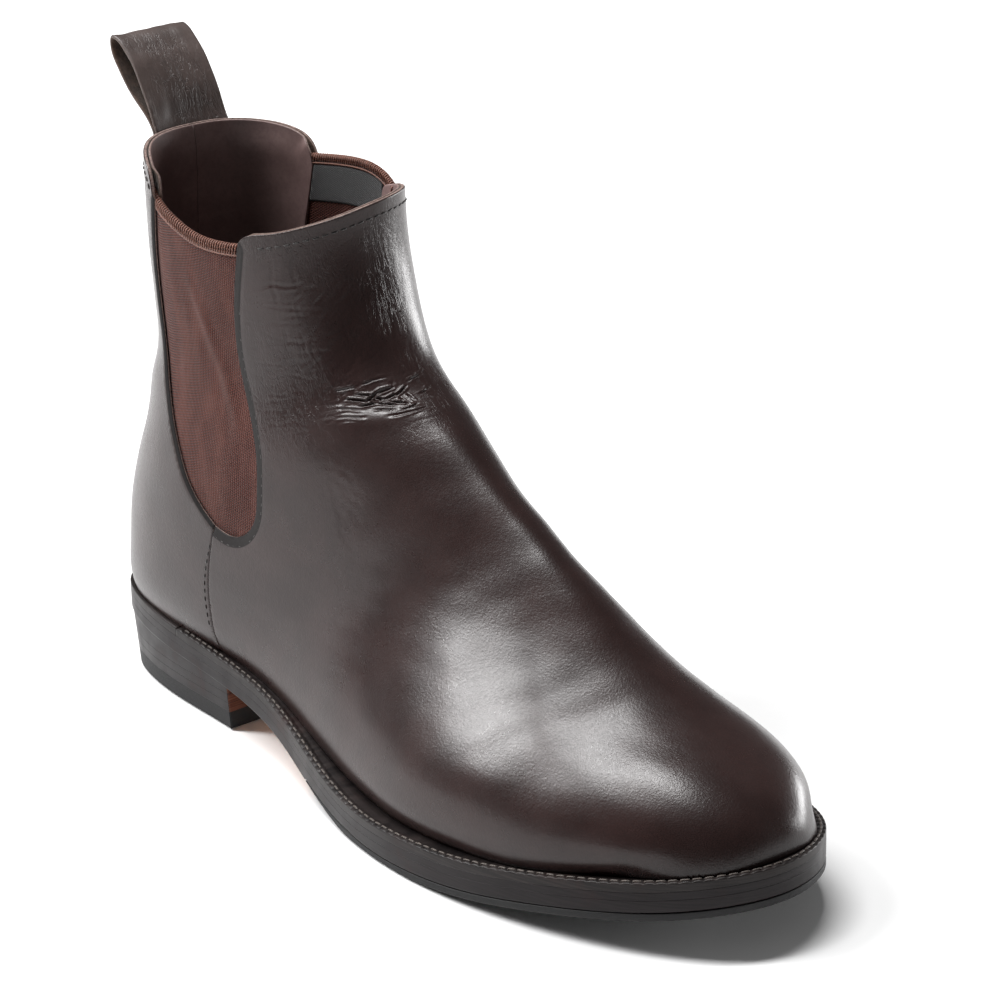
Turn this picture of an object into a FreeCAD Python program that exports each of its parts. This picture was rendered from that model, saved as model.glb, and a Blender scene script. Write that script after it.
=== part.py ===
import FreeCAD, Part
import math
import os

# Chelsea boot for the right foot: welted leather upper with elastic side gores, a folding pull
# loop at the back, leather sole with a rubber forepart, and a stacked heel with a rubber top piece.
# Millimetres. +X toe, +Y inner (medial) side, +Z up, ground at Z 0.

V = FreeCAD.Vector

# ---- driving dimensions -------------------------------------------------------------------

# origin of the finished part: middle of the bounding box, on the ground
ORIGIN = V(-1.807, -0.937, 0)

# upper layers, outside to inside
LEATHER = 1.5
INTERLAYER = 1.2
LINING = 0.9
INNER_FACE = LEATHER + INTERLAYER + LINING
SOCK_GAP = 0.1

# Cross-sections of the boot's outer form, from the collar down the leg, round the heel and instep
# and forward to the toe. Each is a flat oval standing on the line from a back (or bottom) point to
# a front (or top) point of the side profile.
# front x, front z, back x, back z, outer half width, inner half width,
# back y, front y, share of the line where it is widest, exponent below that, exponent above it
SECTIONS = [
    (-36, 186, -132, 190, 33, 30, 4, 4, 0.50, 2.5, 2.5),
    (-35, 164, -133, 162, 33, 30, 4, 4, 0.50, 2.5, 2.4),
    (-29, 143.5, -133, 136, 32, 30, 3, 4, 0.50, 2.4, 2.3),
    (-19, 127, -134, 110, 31, 30, 2, 4, 0.48, 2.3, 2.2),
    (-5, 118, -140.5, 85, 33, 32, 1, 4, 0.45, 2.3, 2.1),
    (9, 110.5, -146.5, 60, 35, 34, 0, 4, 0.42, 2.4, 2.0),
    (20, 103.5, -147.5, 42, 35, 34, 0, 4, 0.38, 2.6, 2.0),
    (30, 97.5, -145.5, 24, 35, 33.5, 0, 4, 0.37, 2.7, 2.0),
    (40.5, 91.5, -120, 14, 34, 31.5, 0, 5, 0.38, 2.8, 2.0),
    (53, 84.5, -79, 12, 34, 30.5, 0, 5, 0.37, 2.7, 2.0),
    (68, 75.5, -33, 5, 42, 33, 1, 6, 0.35, 2.5, 2.0),
    (86.5, 64, 15, 1, 51, 38, 2, 6, 0.34, 2.4, 2.0),
    (105.5, 54.5, 51, 2, 51.5, 42, 3, 6, 0.34, 2.4, 2.1),
    (123.5, 47, 78, 5, 48, 42, 4, 6, 0.31, 2.4, 2.2),
    (138, 40, 94, 9, 42, 37.5, 4, 6, 0.27, 2.5, 2.2),
    (146, 33, 103, 13, 36.5, 31.5, 4, 6, 0.24, 2.6, 2.2),
    (148.5, 25.5, 107, 16, 34, 30, 4, 6, 0.22, 2.5, 2.3),
    (149, 19, 108, 18, 33, 29.5, 4, 6, 0.22, 2.5, 2.3),
]
LAST = len(SECTIONS) - 1
HALF = 20
SECTION_STEP = 0.5

# plan outline of the sole edge: x, then y on the outer side and y on the inner side
SOLE_PLAN = [
    (-144, -20, 19),
    (-128, -28, 28.5),
    (-105, -31.5, 33),
    (-80, -32.5, 32),
    (-45, -35.5, 32.5),
    (-10, -43.5, 36),
    (30, -51.5, 43),
    (65, -51.5, 49.5),
    (95, -46, 49.5),
    (120, -37, 43),
    (140, -23.5, 31.3),
]
SOLE_BACK = V(-150, -0.5, 0)
SOLE_TOE = V(153, 4.5, 0)

# side profile of the sole: x, ground-side z, total edge thickness
SOLE_PROFILE = [
    (-156, 20.4, 9.4),
    (-115, 17.6, 9.4),
    (-80, 15.3, 9.4),
    (-35, 9.9, 9.9),
    (-10, 4.2, 10.6),
    (15, 0.15, 11.45),
    (50, -0.1, 12.3),
    (75, 1.9, 12.2),
    (100, 5.5, 12.1),
    (130, 9.9, 12.0),
    (160, 14.6, 12.0),
]
WELT = 3.0
MIDSOLE = 2.5
TREAD = 2.5
TREAD_START = -14
TREAD_FULL = 18
TREAD_LIP = 0.8

WELT_WIDTH = 9.5
WELT_END = -100
RIB = 1.2
INSOLE = 2.5
SOCK = 1.0
HEEL_PAD = 2.0
HEEL_PAD_END = -76

HEEL_BREAST = -71
HEEL_TAPER = 0.95
HEEL_CENTRE = -100
TOP_PIECE = 6.0
LIFT = 3.2
HEEL_NAILS = [(-134, 0), (-122, -17), (-122, 17), (-92, -19), (-92, 19)]
HEEL_NAIL_R = 1.1
TOP_NAIL_R = 0.9
TOP_NAIL_INSET = 7.0
TOP_NAIL_COUNT = 11

SHANK = (-104, -8, 12, 1.2)

# side-view outlines (x, z)
SEAM = [(-77, 0), (-77.5, 29), (-77.5, 46), (-73, 69)]
GORE_BACK = [(-73, 69), (-79, 73), (-87, 80.5), (-95, 90.5), (-102.5, 101), (-108.5, 114), (-111.5, 131),
             (-111, 150), (-108.5, 166)]
GORE_FRONT = [(-73, 69), (-65.5, 67.8), (-58.5, 70), (-54, 75), (-52, 84), (-53, 98), (-57.5, 110),
              (-62, 122), (-64, 142), (-62.5, 160)]
FRONT_COLLAR = [(-62.5, 160), (-61, 163.2), (-57.5, 165.4), (-52, 166.6), (-43, 169.2), (-35, 172.6)]
BACK_COLLAR = [(-108.5, 166), (-109.2, 170.5), (-112.5, 175), (-119, 177.8), (-127, 179.4), (-134, 180)]
GORE_TOP = [(-118, 170), (-108.5, 165.3), (-97, 162.2), (-85, 159.8), (-73, 159.6), (-62.5, 160.6), (-52, 163)]
UNDERLAP = 7.0
EDGE_BIND = 1.1
TAPE_TOP = 1.0
TAPE_DEPTH = 13.0
TAPE = 0.5
PANEL_GAP = 0.1

LOOP_WIDTH = 27.0
LOOP_Y = 4.5
STRAP = 1.3
LOOP_AXIS = V(-135.8, 0, 180.3)
LOOP_PATH = [(-134.95, 181.3), (-136.5, 185.8), (-138.3, 190.2), (-140.9, 194.6), (-143.9, 198.8), (-148, 202.6),
             (-152.6, 205.6), (-155.3, 205.7), (-155.8, 202.2), (-153.2, 197.3), (-149.6, 192.6), (-145.2, 188.4),
             (-140.3, 184.8), (-136.7, 181.3)]
KNUCKLE = 1.45
ANCHOR_TOP = 178.3
ANCHOR_BOTTOM = 154.0

STITCH = (2.1, 0.6, 0.35)
STITCH_LIFT = 0.08
STITCH_PITCH = 3.0
WELT_STITCH = (2.5, 0.9, 0.4)
WELT_PITCH = 3.4
WELT_STITCH_INSET = 1.5

SIDE = 120.0
SKY = 260.0

# ---- form of the upper --------------------------------------------------------------------


def spline_bends(rows):
    """Second derivatives of a natural cubic through evenly spaced rows."""
    count = len(rows)
    width = len(rows[0])
    share = [0.0] * count
    bends = [[0.0] * width for _ in rows]
    for i in range(1, count - 1):
        pivot = 4.0 - share[i - 1]
        share[i] = 1.0 / pivot
        for k in range(width):
            bend = 6.0 * (rows[i + 1][k] - 2.0 * rows[i][k] + rows[i - 1][k])
            bends[i][k] = (bend - bends[i - 1][k]) / pivot
    for i in range(count - 2, 0, -1):
        for k in range(width):
            bends[i][k] -= share[i] * bends[i + 1][k]
    return bends


BENDS = spline_bends(SECTIONS)


def section(u):
    """Section values at station u, between the listed ones too."""
    i = min(max(int(u), 0), LAST - 1)
    f = u - i
    g = 1.0 - f
    return [
        g * a + f * b + ((g**3 - g) * p + (f**3 - f) * q) / 6.0
        for a, b, p, q in zip(SECTIONS[i], SECTIONS[i + 1], BENDS[i], BENDS[i + 1])
    ]


def half_oval(u, side, steps=120):
    """One side of a section, from its back point to its front point."""
    fx, fz, bx, bz, outer, inner, by, fy, widest, low, high = section(u)
    width = -outer if side < 0 else inner
    points = []
    for k in range(steps + 1):
        angle = math.pi * k / steps
        c = abs(math.cos(angle))
        s = abs(math.sin(angle))
        if 2 * k < steps:
            t = widest - widest * c ** (2.0 / low)
            w = s ** (2.0 / low)
        else:
            t = widest + (1 - widest) * c ** (2.0 / high)
            w = s ** (2.0 / high)
        points.append(V(bx + (fx - bx) * t, by + (fy - by) * t + width * w, bz + (fz - bz) * t))
    return points


def evenly(points, count):
    """The same path as evenly spaced points."""
    run = [0.0]
    for a, b in zip(points, points[1:]):
        run.append(run[-1] + a.distanceToPoint(b))
    out = []
    j = 0
    for k in range(count):
        want = run[-1] * k / (count - 1)
        while j < len(points) - 2 and run[j + 1] < want:
            j += 1
        span = max(run[j + 1] - run[j], 1e-9)
        out.append(points[j] + (points[j + 1] - points[j]) * ((want - run[j]) / span))
    return out


def ring(u, half=HALF):
    """Closed section: back, outer side, front, inner side."""
    outer = evenly(half_oval(u, -1), half + 1)
    inner = evenly(half_oval(u, 1), half + 1)
    return outer + inner[half - 1:0:-1]


def ring_normals(u, half=HALF):
    """Section points with the outward normal of the form at each."""
    points = ring(u, half)
    before = ring(u - 0.05, half)
    after = ring(u + 0.05, half)
    middle = sum(points, V()) * (1.0 / len(points))
    out = []
    for i, point in enumerate(points):
        around = points[(i + 1) % len(points)] - points[i - 1]
        normal = around.cross(after[i] - before[i])
        normal.normalize()
        if normal.dot(point - middle) < 0:
            normal = normal * -1
        out.append((point, normal))
    return out


def inset_ring(u, depth):
    """Section of the form moved inward by a depth measured square to the surface."""
    if depth == 0:
        return ring(u)
    row = section(u)
    plane = V(row[0] - row[2], 0, row[1] - row[3]).cross(V(0, 1, 0))
    plane.normalize()
    pairs = ring_normals(u)
    middle = sum((p for p, _ in pairs), V()) * (1.0 / len(pairs))
    out = []
    for point, normal in pairs:
        flat = normal - plane * normal.dot(plane)
        share = max(flat.Length, 0.8)
        flat.normalize()
        if flat.dot(point - middle) < 0:
            flat = flat * -1
        out.append(point - flat * (depth / share))
    return out


def closed_curve(points):
    curve = Part.BSplineCurve()
    marks = [float(i) for i in range(len(points) + 1)]
    curve.interpolate(Points=points, PeriodicFlag=True, Parameters=marks)
    return curve


def form(depth):
    """Solid of the boot's form at a depth below the outer leather surface."""
    count = int(LAST / SECTION_STEP) + 1
    rings = [closed_curve(inset_ring(k * SECTION_STEP, depth)) for k in range(count)]
    ring_poles = [c.getPoles() for c in rings]
    marks = [float(k) for k in range(count)]
    lines = []
    for j in range(len(ring_poles[0])):
        line = Part.BSplineCurve()
        line.interpolate(Points=[poles[j] for poles in ring_poles], Parameters=marks)
        lines.append(line)
    poles = [[line.getPole(i + 1) for line in lines] for i in range(lines[0].NbPoles)]
    surface = Part.BSplineSurface()
    surface.buildFromPolesMultsKnots(
        poles,
        lines[0].getMultiplicities(),
        rings[0].getMultiplicities(),
        lines[0].getKnots(),
        rings[0].getKnots(),
        False,
        True,
        3,
        3,
    )
    caps = [Part.Face(Part.Wire([rings[i].toShape()])) for i in (0, -1)]
    shell = Part.makeShell([surface.toShape()] + caps)
    shell.sewShape()
    solid = Part.makeSolid(Part.Shell(shell.Faces))
    if solid.Volume < 0:
        solid.reverse()
    return solid


def oval_width(t, widest, low, high):
    """Share of the full width at a place t along a section's line."""
    if t < widest:
        c = (widest - t) / widest
        return max(0.0, 1 - c**low) ** (1.0 / low)
    c = (t - widest) / (1 - widest)
    return max(0.0, 1 - c**high) ** (1.0 / high)


def side_point(x, z, side):
    """Point of the outer surface seen at (x, z) from one side."""
    low_u, high_u = 0.0, float(LAST)
    for _ in range(40):
        u = 0.5 * (low_u + high_u)
        row = section(u)
        turn = (x - row[2]) * (row[1] - row[3]) - (z - row[3]) * (row[0] - row[2])
        if turn > 0:
            low_u = u
        else:
            high_u = u
    row = section(u)
    length = (row[0] - row[2]) ** 2 + (row[1] - row[3]) ** 2
    t = ((x - row[2]) * (row[0] - row[2]) + (z - row[3]) * (row[1] - row[3])) / length
    t = min(max(t, 0.0), 1.0)
    width = -row[4] if side < 0 else row[5]
    y = row[6] + (row[7] - row[6]) * t + width * oval_width(t, row[8], row[9], row[10])
    return V(x, y, z)


def side_normal(x, z, side):
    step = 0.4
    dx = side_point(x + step, z, side) - side_point(x - step, z, side)
    dz = side_point(x, z + step, side) - side_point(x, z - step, side)
    normal = dx.cross(dz)
    normal.normalize()
    return normal if normal.y * side > 0 else normal * -1


# ---- cutters ------------------------------------------------------------------------------


def flat_curve(pairs, y=0.0):
    """Smooth open curve through (x, z) pairs."""
    curve = Part.BSplineCurve()
    curve.interpolate([V(x, y, z) for x, z in pairs])
    return curve.toShape()


def prism(edges):
    """Cutter: a side-view outline pushed through the full width of the boot."""
    wire = Part.Wire(Part.__sortEdges__(edges))
    face = Part.Face(wire)
    face.translate(V(0, -SIDE, 0))
    return face.extrude(V(0, 2 * SIDE, 0))


def chain(*corners):
    """Straight edges through (x, z) corners, in the side plane."""
    points = [V(x, 0, z) for x, z in corners]
    return [Part.makeLine(a, b) for a, b in zip(points, points[1:])]


def sole_curve(shift, use_thickness=True):
    """(x, z) pairs of a level in the sole: the top edge plus a shift, or the ground side."""
    return [(x, z + (t + shift if use_thickness else shift)) for x, z, t in SOLE_PROFILE]


PROFILE_CURVES = {}


def level_curve(shift, use_thickness=True):
    key = (shift, use_thickness)
    if key not in PROFILE_CURVES:
        curve = Part.BSplineCurve()
        curve.interpolate([V(x, 0, z) for x, z in sole_curve(shift, use_thickness)])
        PROFILE_CURVES[key] = curve
    return PROFILE_CURVES[key]


def level_at(x, shift=0.0, use_thickness=True):
    """Height of a sole level at x."""
    curve = level_curve(shift, use_thickness)
    low, high = curve.FirstParameter, curve.LastParameter
    for _ in range(40):
        mid = 0.5 * (low + high)
        if curve.value(mid).x < x:
            low = mid
        else:
            high = mid
    return curve.value(low).z


def band(low_shift, high_shift, low_thick=True, high_thick=True):
    """Cutter between two levels of the sole."""
    low = level_curve(low_shift, low_thick)
    high = level_curve(high_shift, high_thick)
    a, b = low.value(low.FirstParameter), low.value(low.LastParameter)
    c, d = high.value(high.FirstParameter), high.value(high.LastParameter)
    return prism([low.toShape(), high.toShape(), Part.makeLine(a, c), Part.makeLine(b, d)])


def above(shift):
    """Cutter for everything over a level of the sole."""
    low = level_curve(shift, True)
    a, b = low.value(low.FirstParameter), low.value(low.LastParameter)
    top_a, top_b = V(a.x, 0, SKY), V(b.x, 0, SKY)
    return prism([low.toShape(), Part.makeLine(a, top_a), Part.makeLine(top_a, top_b), Part.makeLine(top_b, b)])


def block(x0, x1, z0=-20, z1=SKY, y0=-SIDE, y1=SIDE):
    return Part.makeBox(x1 - x0, y1 - y0, z1 - z0, V(x0, y0, z0))


def grown(pairs, amount, sign):
    """An open outline moved sideways by an amount."""
    out = []
    for i, (x, z) in enumerate(pairs):
        a = pairs[max(i - 1, 0)]
        b = pairs[min(i + 1, len(pairs) - 1)]
        dx, dz = b[0] - a[0], b[1] - a[1]
        length = math.hypot(dx, dz)
        out.append((x - sign * dz / length * amount, z + sign * dx / length * amount))
    return out


# ---- sole plan ----------------------------------------------------------------------------


def plan_points(inset, count=80):
    """Sole outline moved inward by an inset."""
    outer = [V(x, y, 0) for x, y, _ in SOLE_PLAN]
    inner = [V(x, y, 0) for x, _, y in reversed(SOLE_PLAN)]
    curve = Part.BSplineCurve()
    curve.interpolate(Points=[SOLE_BACK] + outer + [SOLE_TOE] + inner, PeriodicFlag=True)
    first, last = curve.FirstParameter, curve.LastParameter
    out = []
    for k in range(count):
        p = first + (last - first) * k / count
        tangent = curve.tangent(p)[0]
        out.append(curve.value(p) + V(-tangent.y, tangent.x, 0) * inset)
    return out


def plan_solid(inset, z0=-5.0, z1=60.0):
    """Upright solid inside the sole outline."""
    face = Part.Face(Part.Wire([closed_curve(plan_points(inset)).toShape()]))
    face.translate(V(0, 0, z0))
    return face.extrude(V(0, 0, z1 - z0))


# ---- stitches -----------------------------------------------------------------------------


def brick(centre, along, normal, size):
    """Small block lying along a direction, resting just off a surface."""
    length, width, height = size
    along = along - normal * along.dot(normal)
    along.normalize()
    across = normal.cross(along)
    box = Part.makeBox(length, width, height, V(-length / 2, -width / 2, 0))
    matrix = FreeCAD.Matrix(
        along.x, across.x, normal.x, centre.x,
        along.y, across.y, normal.y, centre.y,
        along.z, across.z, normal.z, centre.z,
        0, 0, 0, 1,
    )
    return box.transformed(matrix)


def stitch_row(track, size=STITCH, pitch=STITCH_PITCH, lift=STITCH_LIFT):
    """Stitches spaced along a track of (point, normal) pairs."""
    run = [0.0]
    for (a, _), (b, _) in zip(track, track[1:]):
        run.append(run[-1] + a.distanceToPoint(b))
    count = max(1, int(run[-1] / pitch))
    out = []
    for k in range(count):
        want = run[-1] * (k + 0.5) / count
        j = max(i for i in range(len(run) - 1) if run[i] <= want)
        f = (want - run[j]) / max(run[j + 1] - run[j], 1e-9)
        point = track[j][0] + (track[j + 1][0] - track[j][0]) * f
        normal = track[j][1] * (1 - f) + track[j + 1][1] * f
        normal.normalize()
        out.append(brick(point + normal * lift, track[j + 1][0] - track[j][0], normal, size))
    return out


def side_track(pairs, side, count=60):
    """Track on the outer surface over a smooth side-view line."""
    edge = flat_curve(pairs)
    points = edge.discretize(count)
    return [(side_point(p.x, p.z, side), side_normal(p.x, p.z, side)) for p in points]


def height_of(pairs, x):
    """Height of a listed line at x."""
    rows = sorted(pairs)
    if x <= rows[0][0]:
        return rows[0][1]
    for a, b in zip(rows, rows[1:]):
        if x <= b[0]:
            return a[1] + (b[1] - a[1]) * (x - a[0]) / max(b[0] - a[0], 1e-9)
    return rows[-1][1]


def collar_track(pairs, drop, first, last, half=40):
    """Track round the leg a little below a collar line, over part of the ring."""
    out = []
    for k in range(first, last + 1):
        low, high = 0.0, 3.0
        for _ in range(24):
            u = 0.5 * (low + high)
            point = ring(u, half)[k % (2 * half)]
            if point.z > height_of(pairs, point.x) - drop:
                low = u
            else:
                high = u
        out.append(ring_normals(u, half)[k % (2 * half)])
    return out


# ---- build --------------------------------------------------------------------------------


def upper_nodes(nodes):
    outer = form(0)
    under = form(LEATHER)
    behind = form(LEATHER + INTERLAYER)
    inside = form(INNER_FACE)
    over_welt = above(0.0)

    leather = outer.cut(under).common(over_welt)
    middle = under.cut(behind).common(over_welt)
    lining = behind.cut(inside).common(over_welt)

    front = prism([flat_curve(SEAM), flat_curve(GORE_FRONT), flat_curve(FRONT_COLLAR)]
                  + chain(FRONT_COLLAR[-1], (-20, 176), (200, 176), (200, 0), SEAM[0]))
    back = prism([flat_curve(SEAM), flat_curve(GORE_BACK), flat_curve(BACK_COLLAR)]
                 + chain(BACK_COLLAR[-1], (-200, 181), (-200, 0), SEAM[0]))
    back.translate(V(-PANEL_GAP, 0, 0))

    seam_line = [(4, SKY), (4, 162), (3, 136), (2, 110), (1, 85), (0, 60), (0, 0)]
    outer_half = half_room(seam_line, -1)
    inner_half = half_room(seam_line, 1)

    nodes["vamp"] = leather.common(front)
    nodes["quarter_lateral"] = leather.common(back).common(outer_half)
    nodes["quarter_medial"] = leather.common(back).common(inner_half)
    nodes["vamp_lining"] = lining.common(front)
    nodes["quarter_lining_lateral"] = lining.common(back).common(outer_half)
    nodes["quarter_lining_medial"] = lining.common(back).common(inner_half)

    window_back = grown(GORE_BACK, UNDERLAP, 1)
    window_front = grown(GORE_FRONT, UNDERLAP, -1)
    window = window_back[::-1] + window_front[1:]
    top = flat_curve(GORE_TOP)
    gore_outline = flat_curve([p for p in window if p[1] < 158])
    gore_zone = prism([gore_outline] + chain(window_back[-2], (window_back[-1][0], SKY))
                      + chain((window_back[-1][0], SKY), (window_front[-1][0], SKY))
                      + chain((window_front[-1][0], SKY), window_front[-2]))
    under_top = prism([top] + chain(GORE_TOP[-1], (GORE_TOP[-1][0], 0), (GORE_TOP[0][0], 0), GORE_TOP[0]))
    bound = under_top.copy()
    bound.translate(V(0, 0, EDGE_BIND))
    gore = middle.common(gore_zone).common(under_top)
    edge = middle.common(gore_zone).common(bound).cut(under_top)
    window_only = prism([flat_curve(GORE_BACK), flat_curve(GORE_FRONT)]
                        + chain(GORE_BACK[-1], (GORE_BACK[-1][0], SKY), (GORE_FRONT[-1][0], SKY), GORE_FRONT[-1]))
    tape_zone = under_top.copy()
    tape_zone.translate(V(0, 0, -TAPE_TOP))
    tape_floor = under_top.copy()
    tape_floor.translate(V(0, 0, -TAPE_TOP - TAPE_DEPTH))
    tape = behind.cut(form(LEATHER + INTERLAYER + TAPE)).common(over_welt)
    tape = tape.common(window_only).common(tape_zone).cut(tape_floor)
    for name, side in (("lateral", -1), ("medial", 1)):
        room = block(-200, 200, -20, SKY, -SIDE if side < 0 else 4, 4 if side < 0 else SIDE)
        nodes["gore_" + name] = gore.common(room)
        nodes["gore_edge_" + name] = edge.common(room)
        nodes["gore_tape_" + name] = tape.common(room)

    puff_zone = prism(chain((200, 0), (96, 0)) + [flat_curve([(96, 0), (99, 30), (108, 56), (122, 80)])]
                      + chain((122, 80), (200, 80), (200, 0)))
    counter_zone = prism(chain((-70, 0), (-200, 0), (-200, 82)) + chain((-200, 82), (-140, 82))
                         + [flat_curve([(-140, 82), (-122, 76), (-104, 62), (-92, 44), (-84, 26), (-78, 0)])]
                         + chain((-78, 0), (-70, 0)))
    nodes["toe_puff"] = middle.common(puff_zone)
    nodes["heel_counter"] = middle.common(counter_zone)
    collar_drop = 9.0
    front_low = front.copy()
    front_low.translate(V(1.0, 0, -collar_drop))
    low_front = front.common(front_low)
    back_low = back.copy()
    back_low.translate(V(0, 0, -collar_drop))
    low_back = back.common(back_low)
    nodes["vamp_interlining"] = middle.common(low_front).cut(gore_zone).cut(puff_zone)
    nodes["quarter_backer"] = middle.common(low_back).cut(gore_zone).cut(counter_zone)


def half_room(seam_line, side):
    """Everything on one side of the back seam, less half the seam gap."""
    points = [V(-200, y + side * PANEL_GAP, z) for y, z in seam_line]
    far = side * SIDE
    loop = points + [V(-200, far, seam_line[-1][1]), V(-200, far, seam_line[0][1]), points[0]]
    face = Part.Face(Part.makePolygon(loop))
    return face.extrude(V(150, 0, 0))


def sole_nodes(nodes):
    full = plan_solid(0)
    inside_form = form(INNER_FACE + SOCK_GAP)
    nodes["insole"] = inside_form.common(band(0, INSOLE))
    nodes["sock_liner"] = inside_form.common(band(INSOLE, INSOLE + SOCK))
    pad = band(INSOLE + SOCK, INSOLE + SOCK + HEEL_PAD)
    nodes["heel_pad"] = inside_form.common(pad).common(block(-200, HEEL_PAD_END))

    welt_ring = full.common(band(-WELT, 0)).cut(plan_solid(WELT_WIDTH))
    nodes["welt"] = welt_ring.common(block(WELT_END + PANEL_GAP, 200))
    nodes["heel_rand"] = welt_ring.common(block(-200, WELT_END - PANEL_GAP))
    rib = plan_solid(WELT_WIDTH + 0.1).cut(plan_solid(WELT_WIDTH + 0.1 + RIB))
    nodes["insole_rib"] = rib.common(band(-WELT, 0))
    x0, x1, width, thick = SHANK
    shank_room = block(x0, x1, -20, SKY, -width / 2, width / 2)
    shank = band(-WELT / 2 - thick / 2, -WELT / 2 + thick / 2).common(shank_room)
    nodes["shank"] = shank
    filler = plan_solid(WELT_WIDTH + RIB + 0.2).common(band(-WELT, 0))
    nodes["cork_filler"] = filler.cut(shank)

    nodes["midsole"] = full.common(band(-WELT - MIDSOLE, -WELT))

    tread_top = [(TREAD_START, TREAD_LIP), (TREAD_FULL, TREAD)]
    tread_curve = [(x, level_at(x, 0.0, False) + rise) for x, rise in tread_top]
    for x in (50, 75, 100, 130, 160):
        tread_curve.append((x, level_at(min(x, 159.9), 0.0, False) + TREAD))
    tread_roof = flat_curve(tread_curve)
    tread_zone = prism([tread_roof] + chain(tread_curve[-1], (tread_curve[-1][0], -15))
                       + chain((tread_curve[-1][0], -15), (TREAD_START, -15), tread_curve[0]))
    whole = full.common(band(0, -WELT - MIDSOLE, False, True))
    nodes["outsole"] = whole.cut(tread_zone)
    nodes["forepart_tread"] = whole.common(tread_zone).common(block(-200, 200, 0, SKY))


def heel_nodes(nodes):
    top = plan_points(0)
    base = [V(HEEL_CENTRE + (p.x - HEEL_CENTRE) * HEEL_TAPER, p.y * HEEL_TAPER, 0) for p in top]
    high = [V(p.x, p.y, 24) for p in top]
    wires = [Part.Wire([closed_curve(points).toShape()]) for points in (base, high)]
    stack = Part.makeLoft(wires, True, True).common(block(-200, HEEL_BREAST))
    under_sole = prism([level_curve(0, False).toShape()]
                       + chain((SOLE_PROFILE[0][0], SOLE_PROFILE[0][1]), (SOLE_PROFILE[0][0], -15))
                       + chain((SOLE_PROFILE[0][0], -15), (SOLE_PROFILE[-1][0], -15))
                       + chain((SOLE_PROFILE[-1][0], -15), (SOLE_PROFILE[-1][0], SOLE_PROFILE[-1][1])))
    stack = stack.common(under_sole)
    edges = [0, TOP_PIECE, TOP_PIECE + LIFT, TOP_PIECE + 2 * LIFT, 40]
    names = ["heel_top_piece", "heel_lift_1", "heel_lift_2", "heel_wedge"]
    for name, z0, z1 in zip(names, edges, edges[1:]):
        nodes[name] = stack.common(block(-200, 0, z0, z1))

    nails = []
    for x, y in HEEL_NAILS:
        z0 = TOP_PIECE + 0.2
        z1 = level_at(x, 0.0, False) + 2.6
        nails.append(Part.makeCylinder(HEEL_NAIL_R, z1 - z0, V(x, y, z0)))
    holes = Part.makeCompound(nails)
    for name in ("heel_lift_1", "heel_lift_2", "heel_wedge", "outsole"):
        nodes[name] = nodes[name].cut(holes)
    nodes["heel_nails"] = holes

    track = []
    for p in plan_points(0, 240):
        q = V(HEEL_CENTRE + (p.x - HEEL_CENTRE) * HEEL_TAPER, p.y * HEEL_TAPER, 0)
        if q.x < HEEL_BREAST - TOP_NAIL_INSET:
            track.append(q)
    track.sort(key=lambda p: math.atan2(p.y, p.x - HEEL_BREAST + 8))
    around = [p for p in track if p.y > 0] + [p for p in track if p.y <= 0]
    spots = evenly(around, TOP_NAIL_COUNT)
    pins = []
    for p in spots:
        inward = V(HEEL_CENTRE + 4 - p.x, -p.y, 0)
        inward.normalize()
        q = p + inward * TOP_NAIL_INSET
        pins.append(Part.makeCylinder(TOP_NAIL_R, 5.4, V(q.x, q.y, 0.3)))
    nodes["top_piece_nails"] = Part.makeCompound(pins)
    wells = [Part.makeCylinder(TOP_NAIL_R, 6.2, V(p.CenterOfMass.x, p.CenterOfMass.y, -0.5)) for p in pins]
    nodes["heel_top_piece"] = nodes["heel_top_piece"].cut(Part.makeCompound(wells))


def loop_nodes(nodes):
    path = Part.BSplineCurve()
    path.interpolate([V(x, 0, z) for x, z in LOOP_PATH])
    count = 60
    left, right = [], []
    for k in range(count + 1):
        p = path.FirstParameter + (path.LastParameter - path.FirstParameter) * k / count
        tangent = path.tangent(p)[0]
        normal = V(-tangent.z, 0, tangent.x)
        left.append(path.value(p) + normal * STRAP / 2)
        right.append(path.value(p) - normal * STRAP / 2)
    sides = []
    for points in (left, right):
        curve = Part.BSplineCurve()
        curve.interpolate(points)
        sides.append(curve.toShape())
    ends = [Part.makeLine(left[0], right[0]), Part.makeLine(left[-1], right[-1])]
    strap = Part.Face(Part.Wire(Part.__sortEdges__(sides + ends)))
    strap.translate(V(0, LOOP_Y - LOOP_WIDTH / 2, 0))
    strap = strap.extrude(V(0, LOOP_WIDTH, 0))
    centre = V(LOOP_AXIS.x, LOOP_Y - LOOP_WIDTH / 2, LOOP_AXIS.z)
    knuckle = Part.makeCylinder(KNUCKLE, LOOP_WIDTH, centre, V(0, 1, 0))
    nodes["pull_loop"] = strap.fuse(knuckle).removeSplitter()

    low, high = LOOP_Y - LOOP_WIDTH / 2, LOOP_Y + LOOP_WIDTH / 2
    room = block(-200, -100, ANCHOR_BOTTOM, ANCHOR_TOP, low, high)
    nodes["pull_loop_anchor"] = form(-2 * STRAP - 0.1).cut(form(-0.1)).common(room)


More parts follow.
